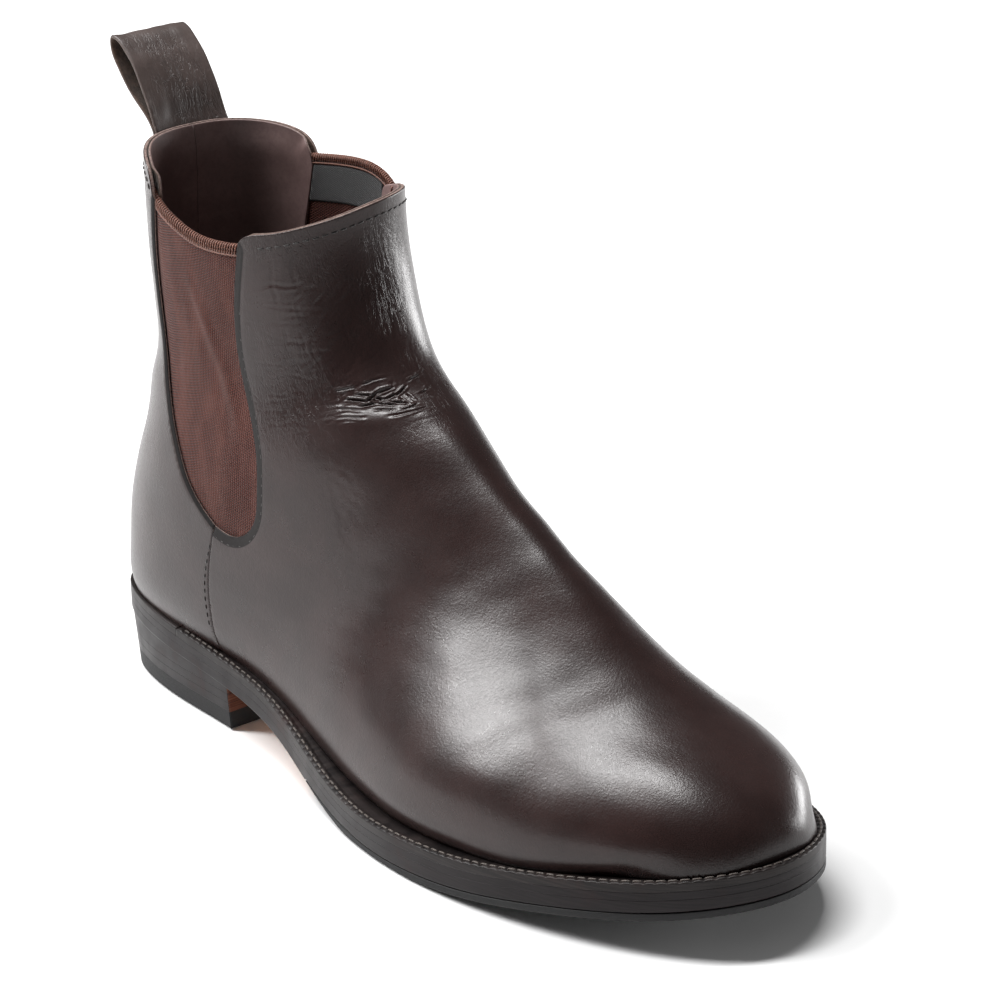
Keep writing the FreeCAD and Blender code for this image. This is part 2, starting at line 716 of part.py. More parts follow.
def stitch_nodes(nodes):
    in_front = 5.0
    rows = stitch_row(collar_track(FRONT_COLLAR, in_front, 23, 57))
    nodes["stitches_front_collar"] = Part.makeCompound(rows)
    rows = stitch_row(collar_track(BACK_COLLAR, in_front, -14, -5))
    rows += stitch_row(collar_track(BACK_COLLAR, in_front, 5, 14))
    nodes["stitches_back_collar"] = Part.makeCompound(rows)
    front_line = grown(GORE_FRONT, 3.4, -1)[:-1]
    back_line = grown(GORE_BACK, 3.0, 1)[1:]
    for name, side in (("lateral", -1), ("medial", 1)):
        rows = stitch_row(side_track(front_line, side)) + stitch_row(side_track(back_line, side))
        nodes["stitches_gore_" + name] = Part.makeCompound(rows)
    rises = (4, 0, -6)
    seam_line = [(x - 2.0, z + rise) for (x, z), rise in zip(SEAM[1:], rises)]
    rows = []
    for side in (-1, 1):
        rows += stitch_row(side_track(seam_line, side))
    nodes["stitches_side_seams"] = Part.makeCompound(rows)

    track = sorted_track([p for p in plan_points(WELT_STITCH_INSET, 400) if p.x > WELT_END + 3])
    lifted = [(V(p.x, p.y, level_at(p.x)), sole_normal(p.x)) for p in track]
    outer = form(-0.1)
    rows = [s for s in stitch_row(lifted, WELT_STITCH, WELT_PITCH) if s.common(outer).Volume < 1e-6]
    nodes["welt_stitches"] = Part.makeCompound(rows)

    rows = []
    out = 2 * STRAP + 0.1
    low, high = LOOP_Y - LOOP_WIDTH / 2 + 3, LOOP_Y + LOOP_WIDTH / 2 - 3
    for z in (ANCHOR_BOTTOM + 3, ANCHOR_TOP - 3):
        track = [back_spot(y, z, out) for y in [low + (high - low) * k / 12 for k in range(13)]]
        rows += stitch_row(track)
    for y in (low, high):
        heights = [ANCHOR_BOTTOM + 5 + (ANCHOR_TOP - ANCHOR_BOTTOM - 10) * k / 8 for k in range(9)]
        rows += stitch_row([back_spot(y, z, out) for z in heights])
    nodes["stitches_pull_loop"] = Part.makeCompound([s.cut(nodes["pull_loop_anchor"]) for s in rows])


def sorted_track(points):
    """Outer side from the heel forward, round the toe and back along the inner side."""
    def turn(p):
        return math.atan2(p.y - SOLE_TOE.y, p.x - 20) % (2 * math.pi)
    outer = [p for p in points if p.y <= SOLE_TOE.y]
    inner = [p for p in points if p.y > SOLE_TOE.y]
    return sorted(outer, key=turn) + sorted(inner, key=turn)


def sole_normal(x):
    """Upward normal of the welt's top face."""
    rise = level_at(x + 1) - level_at(x - 1)
    normal = V(-rise, 0, 2)
    normal.normalize()
    return normal


def back_spot(y, z, out):
    """Point on the back of the leg at a height, pushed outward."""
    half = 60
    low, high = 0.0, 3.0
    for _ in range(24):
        u = 0.5 * (low + high)
        if section(u)[3] > z:
            low = u
        else:
            high = u
    points = ring_normals(u, half)
    spots = points[-16:] + points[:17]
    point, normal = min(spots, key=lambda s: abs(s[0].y - y))
    return V(point.x, y, z) + normal * out, normal


def main():
    os.makedirs("parts", exist_ok=True)
    nodes = {}
    upper_nodes(nodes)
    sole_nodes(nodes)
    heel_nodes(nodes)
    loop_nodes(nodes)
    stitch_nodes(nodes)
    whole = None
    for name, shape in nodes.items():
        solids = shape.Solids
        box = shape.optimalBoundingBox(False)
        if whole is None:
            whole = FreeCAD.BoundBox(box)
        else:
            whole.add(box)
        print(name, len(solids), shape.isValid(), round(shape.Volume, 1),
              [round(v, 1) for v in (box.XMin, box.XMax, box.YMin, box.YMax, box.ZMin, box.ZMax)])
        shape = shape.translated(V(0, 0, 0) - ORIGIN)
        shape.exportStep("parts/" + name + ".step")
    print("whole", whole)


main()
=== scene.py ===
import math

import bmesh
import bpy
import numpy as np
from mathutils import Matrix, Vector
from mathutils.geometry import delaunay_2d_cdt


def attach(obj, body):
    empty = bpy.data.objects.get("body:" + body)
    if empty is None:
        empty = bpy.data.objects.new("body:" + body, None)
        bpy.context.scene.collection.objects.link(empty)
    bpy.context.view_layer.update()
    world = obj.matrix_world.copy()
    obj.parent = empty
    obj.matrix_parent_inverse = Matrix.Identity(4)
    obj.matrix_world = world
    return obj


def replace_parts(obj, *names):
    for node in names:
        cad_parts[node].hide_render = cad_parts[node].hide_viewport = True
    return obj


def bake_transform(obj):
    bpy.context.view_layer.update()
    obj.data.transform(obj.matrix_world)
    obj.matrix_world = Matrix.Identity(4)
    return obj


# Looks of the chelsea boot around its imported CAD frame. Lengths in this script are millimetres in
# the boot's building coordinates; to_frame() moves them to the shared frame, in metres.

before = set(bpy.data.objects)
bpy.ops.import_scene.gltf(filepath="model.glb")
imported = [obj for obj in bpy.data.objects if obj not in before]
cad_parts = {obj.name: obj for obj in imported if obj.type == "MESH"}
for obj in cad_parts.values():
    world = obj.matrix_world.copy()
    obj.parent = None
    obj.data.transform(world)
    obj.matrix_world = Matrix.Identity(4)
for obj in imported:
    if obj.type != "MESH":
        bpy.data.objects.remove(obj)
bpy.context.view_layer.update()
ORIGIN = np.array((-1.807, -0.937, 0.0))

# ---- the boot's form, as the CAD source has it --------------------------------------------------

LEATHER = 1.5
# sections from the collar to the toe: front x, z; back x, z; half widths outer, inner; back y, front y;
# where the width is greatest; fullness behind and ahead of that
SECTIONS = np.array([
    (-36, 186, -132, 190, 33, 30, 4, 4, 0.50, 2.5, 2.5),
    (-35, 164, -133, 162, 33, 30, 4, 4, 0.50, 2.5, 2.4),
    (-29, 143.5, -133, 136, 32, 30, 3, 4, 0.50, 2.4, 2.3),
    (-19, 127, -134, 110, 31, 30, 2, 4, 0.48, 2.3, 2.2),
    (-5, 118, -140.5, 85, 33, 32, 1, 4, 0.45, 2.3, 2.1),
    (9, 110.5, -146.5, 60, 35, 34, 0, 4, 0.42, 2.4, 2.0),
    (20, 103.5, -147.5, 42, 35, 34, 0, 4, 0.38, 2.6, 2.0),
    (30, 97.5, -145.5, 24, 35, 33.5, 0, 4, 0.37, 2.7, 2.0),
    (40.5, 91.5, -120, 14, 34, 31.5, 0, 5, 0.38, 2.8, 2.0),
    (53, 84.5, -79, 12, 34, 30.5, 0, 5, 0.37, 2.7, 2.0),
    (68, 75.5, -33, 5, 42, 33, 1, 6, 0.35, 2.5, 2.0),
    (86.5, 64, 15, 1, 51, 38, 2, 6, 0.34, 2.4, 2.0),
    (105.5, 54.5, 51, 2, 51.5, 42, 3, 6, 0.34, 2.4, 2.1),
    (123.5, 47, 78, 5, 48, 42, 4, 6, 0.31, 2.4, 2.2),
    (138, 40, 94, 9, 42, 37.5, 4, 6, 0.27, 2.5, 2.2),
    (146, 33, 103, 13, 36.5, 31.5, 4, 6, 0.24, 2.6, 2.2),
    (148.5, 25.5, 107, 16, 34, 30, 4, 6, 0.22, 2.5, 2.3),
    (149, 19, 108, 18, 33, 29.5, 4, 6, 0.22, 2.5, 2.3),
])
LAST = len(SECTIONS) - 1
# x, outer y, inner y
SOLE_PLAN = [
    (-144, -20, 19), (-128, -28, 28.5), (-105, -31.5, 33), (-80, -32.5, 32), (-45, -35.5, 32.5),
    (-10, -43.5, 36), (30, -51.5, 43), (65, -51.5, 49.5), (95, -46, 49.5), (120, -37, 43),
    (140, -23.5, 31.3),
]
SOLE_BACK = (-150, -0.5)
SOLE_TOE = (153, 4.5)
# x, ground height, height of the welt above it
SOLE_PROFILE = np.array([
    (-156, 20.4, 9.4), (-115, 17.6, 9.4), (-80, 15.3, 9.4), (-35, 9.9, 9.9), (-10, 4.2, 10.6),
    (15, 0.15, 11.45), (50, -0.1, 12.3), (75, 1.9, 12.2), (100, 5.5, 12.1), (130, 9.9, 12.0),
    (160, 14.6, 12.0),
])
SEAM = [(-77, 0), (-77.5, 29), (-77.5, 46), (-73, 69)]
OUTER, INNER = -1, 1
GORE_LOW = [(-73, 69), (-79, 73), (-87, 80.5), (-95, 90.5), (-102.5, 101)]
GORE_BACK = {
    OUTER: GORE_LOW + [(-108.5, 114), (-111.5, 131), (-111, 150), (-108.5, 166)],
    INNER: GORE_LOW + [(-106.5, 114), (-107.5, 131), (-105.3, 150), (-102, 167)],
}
GORE_FORWARD = [(-73, 69), (-65.5, 67.8), (-58.5, 70), (-54, 75), (-52, 84), (-53, 98)]
GORE_FRONT = {
    OUTER: GORE_FORWARD + [(-58.3, 110), (-63.6, 122), (-64.8, 142), (-62.5, 160)],
    INNER: GORE_FORWARD + [(-57.5, 110), (-62, 122), (-64, 142), (-63, 158), (-62.5, 166.5)],
}
FRONT_COLLAR = {
    OUTER: [(-62.5, 160), (-61, 163.2), (-57.5, 165.4), (-52, 166.6), (-43, 169.2), (-35, 172.6)],
    INNER: [(-62.5, 166.5), (-61.2, 169), (-57.5, 171), (-51, 172.6), (-43.5, 174.2), (-38.6, 174.7),
            (-36, 173.9), (-35, 172.6)],
}
BACK_COLLAR = {
    OUTER: [(-108.5, 166), (-109.2, 170.5), (-112.5, 175), (-119, 177.8), (-127, 179.4), (-134, 180)],
    INNER: [(-102, 167), (-102.9, 171), (-105.4, 174.8), (-112, 177.8), (-122, 179.2), (-134, 180)],
}
GORE_TOP = {
    OUTER: [(-118, 170), (-108.5, 165.3), (-97, 162.2), (-85, 159.8), (-73, 159.6), (-62.5, 160.6),
            (-52, 163)],
    INNER: [(-118, 168.2), (-110, 169.2), (-101, 170.4), (-94.8, 171.3), (-87, 172.4), (-78, 173.3),
            (-69, 173.3), (-60.6, 172.0), (-52, 169.5)],
}
SIDES = (("lateral", OUTER), ("medial", INNER))
LOOP_Y = 4.5
LOOP_WIDTH = 27.0
LOOP_PATH = [
    (-134.95, 181.3), (-136.5, 185.8), (-138.3, 190.2), (-140.9, 194.6), (-143.9, 198.8), (-148, 202.6),
    (-152.6, 205.6), (-155.3, 205.7), (-155.8, 202.2), (-153.2, 197.3), (-149.6, 192.6), (-145.2, 188.4),
    (-140.3, 184.8), (-136.7, 181.3),
]
HEEL_BREAST = -71.0
HEEL_CENTRE = -100.0
HEEL_TAPER = 0.95
WELT_END = -100.0

# the form as a grid: points round half a section, step down the sections, millimetres for one unit of v
HALF = 160
U_STEP = 0.05
ACROSS = 130.0


def to_frame(points):
    return (np.asarray(points, float) - ORIGIN) / 1000.0


def run_of(points):
    """Distance along a chain of points."""
    return np.concatenate([[0], np.cumsum(np.linalg.norm(np.diff(points, axis=0), axis=1))])


def interp_rows(at, run, rows):
    return np.stack([np.interp(at, run, rows[:, k]) for k in range(rows.shape[1])], -1)


def unit(vectors):
    return vectors / np.linalg.norm(vectors, axis=-1, keepdims=True)


def natural_bends(rows, knots):
    """Second derivatives of a natural cubic spline."""
    n = len(rows)
    h = np.diff(knots)
    m = np.zeros((n, n))
    b = np.zeros((n,) + rows.shape[1:])
    m[0, 0] = m[-1, -1] = 1
    for i in range(1, n - 1):
        m[i, i - 1], m[i, i], m[i, i + 1] = h[i - 1], 2 * (h[i - 1] + h[i]), h[i]
        b[i] = 6 * ((rows[i + 1] - rows[i]) / h[i] - (rows[i] - rows[i - 1]) / h[i - 1])
    return np.linalg.solve(m, b)


def spline_at(rows, knots, bends, at):
    i = np.clip(np.searchsorted(knots, at, side="right") - 1, 0, len(knots) - 2)
    h = (knots[i + 1] - knots[i])[..., None]
    g = (knots[i + 1] - at)[..., None] / h
    f = 1 - g
    return g * rows[i] + f * rows[i + 1] + ((g**3 - g) * bends[i] + (f**3 - f) * bends[i + 1]) * h * h / 6


SECTION_KNOTS = np.arange(LAST + 1.0)
SECTION_BENDS = natural_bends(SECTIONS, SECTION_KNOTS)


def station(u):
    return spline_at(SECTIONS, SECTION_KNOTS, SECTION_BENDS, np.clip(np.asarray(u, float), 0, LAST))


def curve(points, count=200, ends=1.0):
    """Smooth open curve through points. ends over 1 packs the samples towards the last point."""
    points = np.array(points, float)
    knots = run_of(points)
    at = knots[-1] * (1 - (1 - np.linspace(0, 1, count)) ** ends)
    return spline_at(points, knots, natural_bends(points, knots), at)


def even(points, count):
    run = run_of(points)
    return interp_rows(np.linspace(0, run[-1], count), run, points)


def closed_curve(points, count):
    """Smooth closed curve through points, evenly sampled."""
    wrapped = np.array(list(points) * 3, float)
    n = len(points)
    dense = curve(np.vstack([wrapped, wrapped[:1]]), 3 * n * 60)
    run = run_of(dense)

    def first_point_near(share):
        far = np.abs(run / run[-1] - share) > 0.1
        return int(np.argmin(np.linalg.norm(dense - wrapped[n], axis=1) + 1e3 * far))
    return even(dense[first_point_near(1 / 3):first_point_near(2 / 3) + 1], count + 1)[:-1]


def half_oval(u, side):
    fx, fz, bx, bz, outer, inner, by, fy, widest, low, high = station(np.array(u))
    angle = np.linspace(0, np.pi, 481)
    c, s = np.abs(np.cos(angle)), np.abs(np.sin(angle))
    first = angle < np.pi / 2
    t = np.where(first, widest - widest * c ** (2 / low), widest + (1 - widest) * c ** (2 / high))
    w = np.where(first, s ** (2 / low), s ** (2 / high))
    width = -outer if side < 0 else inner
    return np.stack([bx + (fx - bx) * t, by + (fy - by) * t + width * w, bz + (fz - bz) * t], -1)


def build_grid():
    stations = np.arange(0, LAST + 1e-9, U_STEP)
    grid = np.zeros((len(stations), 2 * HALF, 3))
    for i, u in enumerate(stations):
        grid[i, :HALF + 1] = even(half_oval(u, -1), HALF + 1)
        grid[i, HALF:] = even(half_oval(u, 1), HALF + 1)[:0:-1]
    return grid


GRID = build_grid()
_steps = np.linalg.norm(np.diff(GRID, axis=0), axis=2).mean(1)
ARC_TABLE = np.concatenate([[0], np.cumsum(_steps)])
U_TABLE = np.arange(len(GRID)) * U_STEP
RING_TABLE = np.linalg.norm(np.diff(GRID, axis=1), axis=2).sum(1) / 2
_line = station(U_TABLE)


def _share(points, row):
    """How far along each section's line its points lie."""
    dx, dz = row[..., 0] - row[..., 2], row[..., 1] - row[..., 3]
    return ((points[..., 0] - row[..., 2]) * dx + (points[..., 2] - row[..., 3]) * dz) / (dx * dx + dz * dz)


SHARE_OUTER = _share(GRID[:, :HALF + 1], _line[:, None])
SHARE_INNER = _share(GRID[:, np.r_[0, np.arange(2 * HALF - 1, HALF - 1, -1)]], _line[:, None])


def arc(u):
    return np.interp(u, U_TABLE, ARC_TABLE)


def cubic_weights(f):
    f2, f3 = f * f, f * f * f
    return [0.5 * (2 * f2 - f - f3), 0.5 * (2 - 5 * f2 + 3 * f3), 0.5 * (f + 4 * f2 - 3 * f3),
            0.5 * (f3 - f2)]


def surface(uv):
    """Points of the outer form at (u, v): u down the leg and out to the toe, v round the section."""
    a = np.clip(uv[:, 0] / U_STEP, 0, len(GRID) - 1.001)
    b = (uv[:, 1] % 2) * HALF
    i, j = a.astype(int), np.floor(b).astype(int)
    rows, cols = cubic_weights((a - i)[:, None]), cubic_weights((b - j)[:, None])
    out = np.zeros((len(uv), 3))
    for r in range(4):
        ri = np.clip(i + r - 1, 0, len(GRID) - 1)
        for c in range(4):
            out += rows[r] * cols[c] * GRID[ri, (j + c - 1) % (2 * HALF)]
    return out


def normals(uv):
    e, g = 0.04, 0.004
    du = surface(uv + (e, 0)) - surface(uv - (e, 0))
    dv = surface(uv + (0, g)) - surface(uv - (0, g))
    return unit(np.cross(du, dv))


def bisect(beyond, low, high, steps=30):
    """Halves the span from low to high, entry by entry: the last two bounds and the last middle."""
    for _ in range(steps):
        middle = 0.5 * (low + high)
        past = beyond(middle)
        low, high = np.where(past, low, middle), np.where(past, middle, high)
    return low, high, middle


def place(points, side):
    """(u, v) of points (x, z) of the side view, on the outer (-1) or the inner (1) side."""
    x, z = np.asarray(points, float).T

    def beyond(u):
        row = station(u)
        turn = (x - row[:, 2]) * (row[:, 1] - row[:, 3]) - (z - row[:, 3]) * (row[:, 0] - row[:, 2])
        return turn <= 0
    u = bisect(beyond, np.zeros(len(x)), np.full(len(x), float(LAST)), 36)[2]
    t = np.clip(_share(np.stack([x, x, z], -1), station(u)), 0, 1)
    table = SHARE_OUTER if side < 0 else SHARE_INNER
    a = np.clip(u / U_STEP, 0, len(GRID) - 1.001)
    i = a.astype(int)
    f = a - i
    marks = np.linspace(0, 1, HALF + 1)
    v = np.array([np.interp(t[k], table[i[k]] * (1 - f[k]) + table[i[k] + 1] * f[k], marks)
                  for k in range(len(u))])
    return np.stack([u, v if side < 0 else 2 - v], -1)


GROUND_LINE, WELT_LINE = [curve(np.stack([SOLE_PROFILE[:, 0], SOLE_PROFILE[:, 1] + thick], -1), 2000)
                          for thick in (0, SOLE_PROFILE[:, 2])]


def level(x):
    """Height of the welt's top."""
    return np.interp(x, WELT_LINE[:, 0], WELT_LINE[:, 1])


def ground(x):
    """Height of the sole's ground side."""
    return np.interp(x, GROUND_LINE[:, 0], GROUND_LINE[:, 1])


def waterline(raise_by, side):
    """(u, v) where the form meets a level of the sole, from the heel's back point to the toe."""
    def over(u, v):
        p = surface(np.stack([u, v if side < 0 else 2 - v], -1))
        return p[:, 2] - level(p[:, 0]) - raise_by
    heel_u = bisect(lambda u: over(u, np.zeros(1)) <= 0, np.array([5.0]), np.array([9.0]))[0]
    u = np.linspace(heel_u[0], 15, 500)
    v = bisect(lambda v: over(u, v) > 0, np.zeros(500), np.full(500, 0.6))[1]
    v[0] = 0
    ahead = np.linspace(v[-1], 1, 120)[1:]
    toe_u = bisect(lambda u: over(u, ahead) <= 0, np.full(119, 15.0), np.full(119, float(LAST)))[0]
    u, v = np.concatenate([u, toe_u]), np.concatenate([v, ahead])
    return np.stack([u, v if side < 0 else 2 - v], -1)


def flat(uv):
    """Near-even plane coordinates of (u, v)."""
    return np.stack([uv[:, 1] * ACROSS, arc(uv[:, 0])], -1)


def resample(uv, spacing):
    run = run_of(surface(uv))
    count = max(2, int(round(run[-1] / spacing)))
    return interp_rows(np.linspace(0, run[-1], count + 1), run, uv)


# ---- relief of the worn leather -----------------------------------------------------------------


def smooth(x):
    x = np.clip(x, 0, 1)
    return x * x * (3 - 2 * x)


def soft_noise(a, b, seed, size, waves=9):
    """Smooth unevenness with features of about a size, from -1 to 1."""
    rng = np.random.default_rng(seed)
    out = np.zeros_like(a)
    for _ in range(waves):
        turn, phase = rng.uniform(0, 2 * np.pi), rng.uniform(0, 2 * np.pi)
        scale = size * rng.uniform(0.7, 1.5)
        out += np.sin((a * np.cos(turn) + b * np.sin(turn)) * 2 * np.pi / scale + phase)
    return out / (waves * 0.6)


def stroke(a, b, start, end, width, depth, lip):
    """A crease from start to end: a groove with a small lip on both sides, fading at its ends."""
    (a0, b0), (a1, b1) = start, end
    dx, dy = a1 - a0, b1 - b0
    length = math.hypot(dx, dy)
    along = ((a - a0) * dx + (b - b0) * dy) / length
    off = ((b - b0) * dx - (a - a0) * dy) / length
    tail = 0.3 * length + width
    fade = smooth((along + width) / tail) * smooth((length + width - along) / tail)
    r = off / width
    return depth * fade * (-np.exp(-r * r) + lip * np.exp(-((np.abs(r) - 1.7) ** 2) * 1.4))


# ankle creases on the leather: (across, along) of both ends, half width, depth
ANKLE_CREASES = [
    ((-20, 79.6), (-14.5, 81.2), 0.5, 0.62), ((-15, 81.4), (-11, 78.4), 0.45, 0.7),
    ((-11.4, 78.8), (-6, 76.4), 0.4, 0.55), ((-17, 77.6), (-12, 79.2), 0.4, 0.5),
    ((-12.8, 79.8), (-9.5, 81.4), 0.4, 0.55), ((-9.6, 81.2), (-6.2, 79.0), 0.4, 0.6),
    ((-7.5, 80.6), (-2.5, 77.4), 0.42, 0.62), ((-17, 83.4), (-12, 82.6), 0.42, 0.5),
    ((-12, 82.8), (-8, 84.4), 0.4, 0.5), ((-9, 82.6), (-5.4, 84.9), 0.36, 0.5),
    ((-6.4, 81.6), (-5.6, 85.8), 0.34, 0.5), ((-4.0, 80.9), (-3.3, 85.0), 0.34, 0.5),
    ((-8, 87.4), (-3, 86.0), 0.4, 0.42), ((-14.5, 85.6), (-8.5, 87.0), 0.4, 0.36),
    ((-24, 83), (-16, 85.2), 0.5, 0.26), ((-25, 87.5), (-16, 88.6), 0.55, 0.24),
    ((-12, 90.4), (-1, 89.0), 0.6, 0.26), ((-2, 76), (5, 74), 0.45, 0.34),
    ((-1.5, 82.4), (3.5, 79.4), 0.42, 0.36), ((-14, 74.6), (-7, 72.4), 0.42, 0.28),
    ((-22, 76), (-15, 74.6), 0.42, 0.28), ((-11, 80.6), (-9.8, 83.6), 0.34, 0.45),
    ((-13.6, 80.2), (-13.0, 83.2), 0.34, 0.42),
]


def small_creases():
    """Fine wrinkles over the front of the shaft, in four families."""
    rng = np.random.default_rng(21)
    rows = []
    # how many, across, along, direction, lengths
    families = [
        (64, (-46, -26), (38, 92), 0.12, (10, 24)),
        (90, (-32, -4), (40, 78), 0.85, (5, 14)),
        (22, (-33, -24), (30, 74), 1.45, (8, 18)),
        (60, (-14, 8), (36, 78), 1.5, (7, 20)),
        (24, (-26, 4), (66, 92), 0.3, (4, 9)),
        (16, (-30, -2), (86, 108), 0.2, (6, 14)),
    ]
    for count, across, down, turn, lengths in families:
        for _ in range(count):
            a, b = rng.uniform(*across), rng.uniform(*down)
            angle = turn + rng.normal(0, 0.16)
            length = rng.uniform(*lengths)
            da, db = 0.5 * length * math.cos(angle), -0.5 * length * math.sin(angle)
            rows.append(((a - da, b - db), (a + da, b + db), rng.uniform(0.4, 0.6), rng.uniform(0.02, 0.07)))
    for k in range(5):
        rows.append(((-22.5 - 1.9 * k, 92 + 3 * k), (-28.5 - 1.7 * k, 132 + 4 * k), 0.5, 0.13))
    return rows


SMALL_CREASES = small_creases()
# soft hollows and swells where the vamp flexes: across, along, half sizes, height
FLEX_FORM = [
    (-14, 274, 18, 24, -1.0), (-8, 240, 16, 24, -0.62), (-20, 215, 18, 26, -0.5),
    (-34, 240, 16, 26, -0.36), (-30, 300, 16, 26, 0.45), (-16, 330, 16, 22, 0.6),
]


# the roll of leather round the back of the ankle: along, half size, height
HEEL_ROLL = [(77.5, 5.5, 1.5), (64, 6.0, -1.0), (90, 5.0, -0.5)]
# a soft ridge and hollow under the ankle creases
ANKLE_FOLD = [(90, 5, 0.5), (80, 6, -0.5)]
# two faint folds across the vamp: along, depth
VAMP_FOLDS = [(252, 0.05), (268, 0.06)]


def bands(b, rows):
    return sum(height * np.exp(-(((b - centre) / wide) ** 2)) for centre, wide, height in rows)


def relief(uv):
    """How far the leather stands out from the smooth form, in millimetres."""
    a = (uv[:, 1] - 1) * ACROSS
    b = arc(uv[:, 0])
    round_back = np.where(uv[:, 1] > 1, uv[:, 1] - 2, uv[:, 1])
    out = 0.10 * soft_noise(a, b, 3, 34) + 0.05 * soft_noise(a, b, 4, 13)
    out += smooth(1 - np.abs(round_back) / 0.34) * bands(b, HEEL_ROLL)
    # creases of the shaft's front
    front = (np.abs(a + 12) < 40) & (b > 26) & (b < 152)
    if front.any():
        fa, fb = a[front], b[front]
        wobble_a = fa + 0.5 * soft_noise(fa, fb, 5, 9)
        wobble_b = fb + 0.7 * soft_noise(fa, fb, 6, 8)
        extra = np.zeros(len(fa))
        for creases, lip in ((ANKLE_CREASES, 0.6), (SMALL_CREASES, 0.4)):
            for crease in creases:
                extra += stroke(wobble_a, wobble_b, *crease, lip)
        extra += np.exp(-((fa + 11) / 16) ** 2) * bands(fb, ANKLE_FOLD)
        out[front] += extra
    for centre_a, centre_b, wide, long, height in FLEX_FORM:
        out += height * np.exp(-(((a - centre_a) / wide) ** 2) - ((b - centre_b) / long) ** 2)
    flex = (b > 225) & (b < 300)
    if flex.any():
        fa, fb = a[flex], b[flex]
        bend = 0.25 * fa + 3 * soft_noise(fa, fb, 9, 60)
        for centre, depth in VAMP_FOLDS:
            r = (fb - centre - bend) / 6.0
            fold = 0.5 * np.exp(-((r - 1.3) ** 2)) - np.exp(-r * r)
            out[flex] += depth * fold * smooth(1.6 - np.abs(fa) / 45)
    return np.clip(out, -1.2, 2.0)


# ---- meshes -------------------------------------------------------------------------------------


def make(name, points, faces, mats, index=None, attributes=None, body="boot"):
    """A piece from millimetre points and faces, riding on a body."""
    mesh = bpy.data.meshes.new(name)
    mesh.from_pydata(to_frame(points).tolist(), [], [list(map(int, f)) for f in faces])
    for m in mats:
        mesh.materials.append(m)
    if index is not None:
        mesh.polygons.foreach_set("material_index", np.asarray(index, np.int32))
    mesh.polygons.foreach_set("use_smooth", np.full(len(mesh.polygons), True))
    for key, values in (attributes or {}).items():
        kind, field = ("FLOAT", "value") if np.ndim(values) == 1 else ("FLOAT_VECTOR", "vector")
        made = mesh.attributes.new(key, kind, "POINT")
        made.data.foreach_set(field, np.asarray(values, np.float32).ravel())
    mesh.validate()
    mesh.update()
    obj = bpy.data.objects.new(name, mesh)
    bpy.context.scene.collection.objects.link(obj)
    if body:
        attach(obj, body)
    return obj


def fix_normals(obj):
    bm = bmesh.new()
    bm.from_mesh(obj.data)
    bmesh.ops.recalc_face_normals(bm, faces=bm.faces)
    bm.to_mesh(obj.data)
    bm.free()


def signed_area(p):
    q = np.roll(p, -1, axis=0)
    return 0.5 * np.sum(p[:, 0] * q[:, 1] - q[:, 0] * p[:, 1])


def inside(points, polygon):
    out = np.zeros(len(points), bool)
    x, y = points.T
    a, b = polygon, np.roll(polygon, -1, axis=0)
    for (ax, ay), (bx, by) in zip(a, b):
        if ay == by:
            continue
        hit = (y > min(ay, by)) & (y <= max(ay, by))
        cross = ax + (y[hit] - ay) / (by - ay) * (bx - ax)
        out[np.flatnonzero(hit)] ^= x[hit] < cross
    return out


def distance(points, line, closed=True, chunk=4000):
    """Distance from points to a chain of points, by the edges next to its nearest one."""
    best = np.full(len(points), 1e9)
    a = line if closed else line[:-1]
    b = np.roll(line, -1, axis=0) if closed else line[1:]
    ab = b - a
    length = (ab * ab).sum(1) + 1e-12
    for k in range(0, len(points), chunk):
        p = points[k:k + chunk]
        near = ((p[:, None, :] - a[None]) ** 2).sum(2).argmin(1)
        for shift in (-1, 0):
            e = (near + shift) % len(a) if closed else np.clip(near + shift, 0, len(a) - 1)
            t = np.clip(((p - a[e]) * ab[e]).sum(1) / length[e], 0, 1)
            d = np.linalg.norm(p - a[e] - t[:, None] * ab[e], axis=1)
            best[k:k + chunk] = np.minimum(best[k:k + chunk], d)
    return best


def triangulated(points, ring, tolerance):
    """Delaunay triangles over points, the first of them a ring of edges: new points, triangles, sources."""
    edges = [(i, (i + 1) % ring) for i in range(ring)]
    made = delaunay_2d_cdt([Vector(p) for p in points.tolist()], edges, [], 1, tolerance, True)
    faces = np.array([f for f in made[2] if len(f) == 3])
    return np.array([tuple(p) for p in made[0]]), faces, np.array([o[0] if o else -1 for o in made[3]])


def filling(faces, points, outline, smallest):
    """The triangles inside an outline, counterclockwise, without slivers."""
    a, b, c = (points[faces[:, k]] for k in range(3))
    turn = (b[:, 0] - a[:, 0]) * (c[:, 1] - a[:, 1]) - (b[:, 1] - a[:, 1]) * (c[:, 0] - a[:, 0])
    faces = np.where((turn < 0)[:, None], faces[:, ::-1], faces)[np.abs(turn) > smallest]
    return faces[inside(points[faces].mean(1), outline)]


def grid_points(outline, spacing, fine):
    """(u, v) of evenly spread points over an outline's box, closer together inside the fine boxes."""
    lo, hi = outline.min(0), outline.max(0)
    rows = []
    for zone, pitch in [(None, spacing)] + list(fine):
        b0, b1 = (arc(lo[0]), arc(hi[0])) if zone is None else zone[2:]
        v0, v1 = (lo[1], hi[1]) if zone is None else (zone[0] / ACROSS + 1, zone[1] / ACROSS + 1)
        for k, b in enumerate(np.arange(b0, b1, pitch * 0.92)):
            u = np.interp(b, ARC_TABLE, U_TABLE)
            count = max(2, int(np.interp(u, U_TABLE, RING_TABLE) * (v1 - v0) / pitch))
            v = v0 + (np.arange(count) + (0.25 if k % 2 else 0.75)) / count * (v1 - v0)
            made = np.stack([np.full(count, u), v], -1)
            if zone is None:
                for (za, zb, zc, zd), _ in fine:
                    a = (v - 1) * ACROSS
                    made = made[~((a > za) & (a < zb))] if zc < b < zd else made
                    v = made[:, 1]
            rows.append(made)
    return np.concatenate(rows)


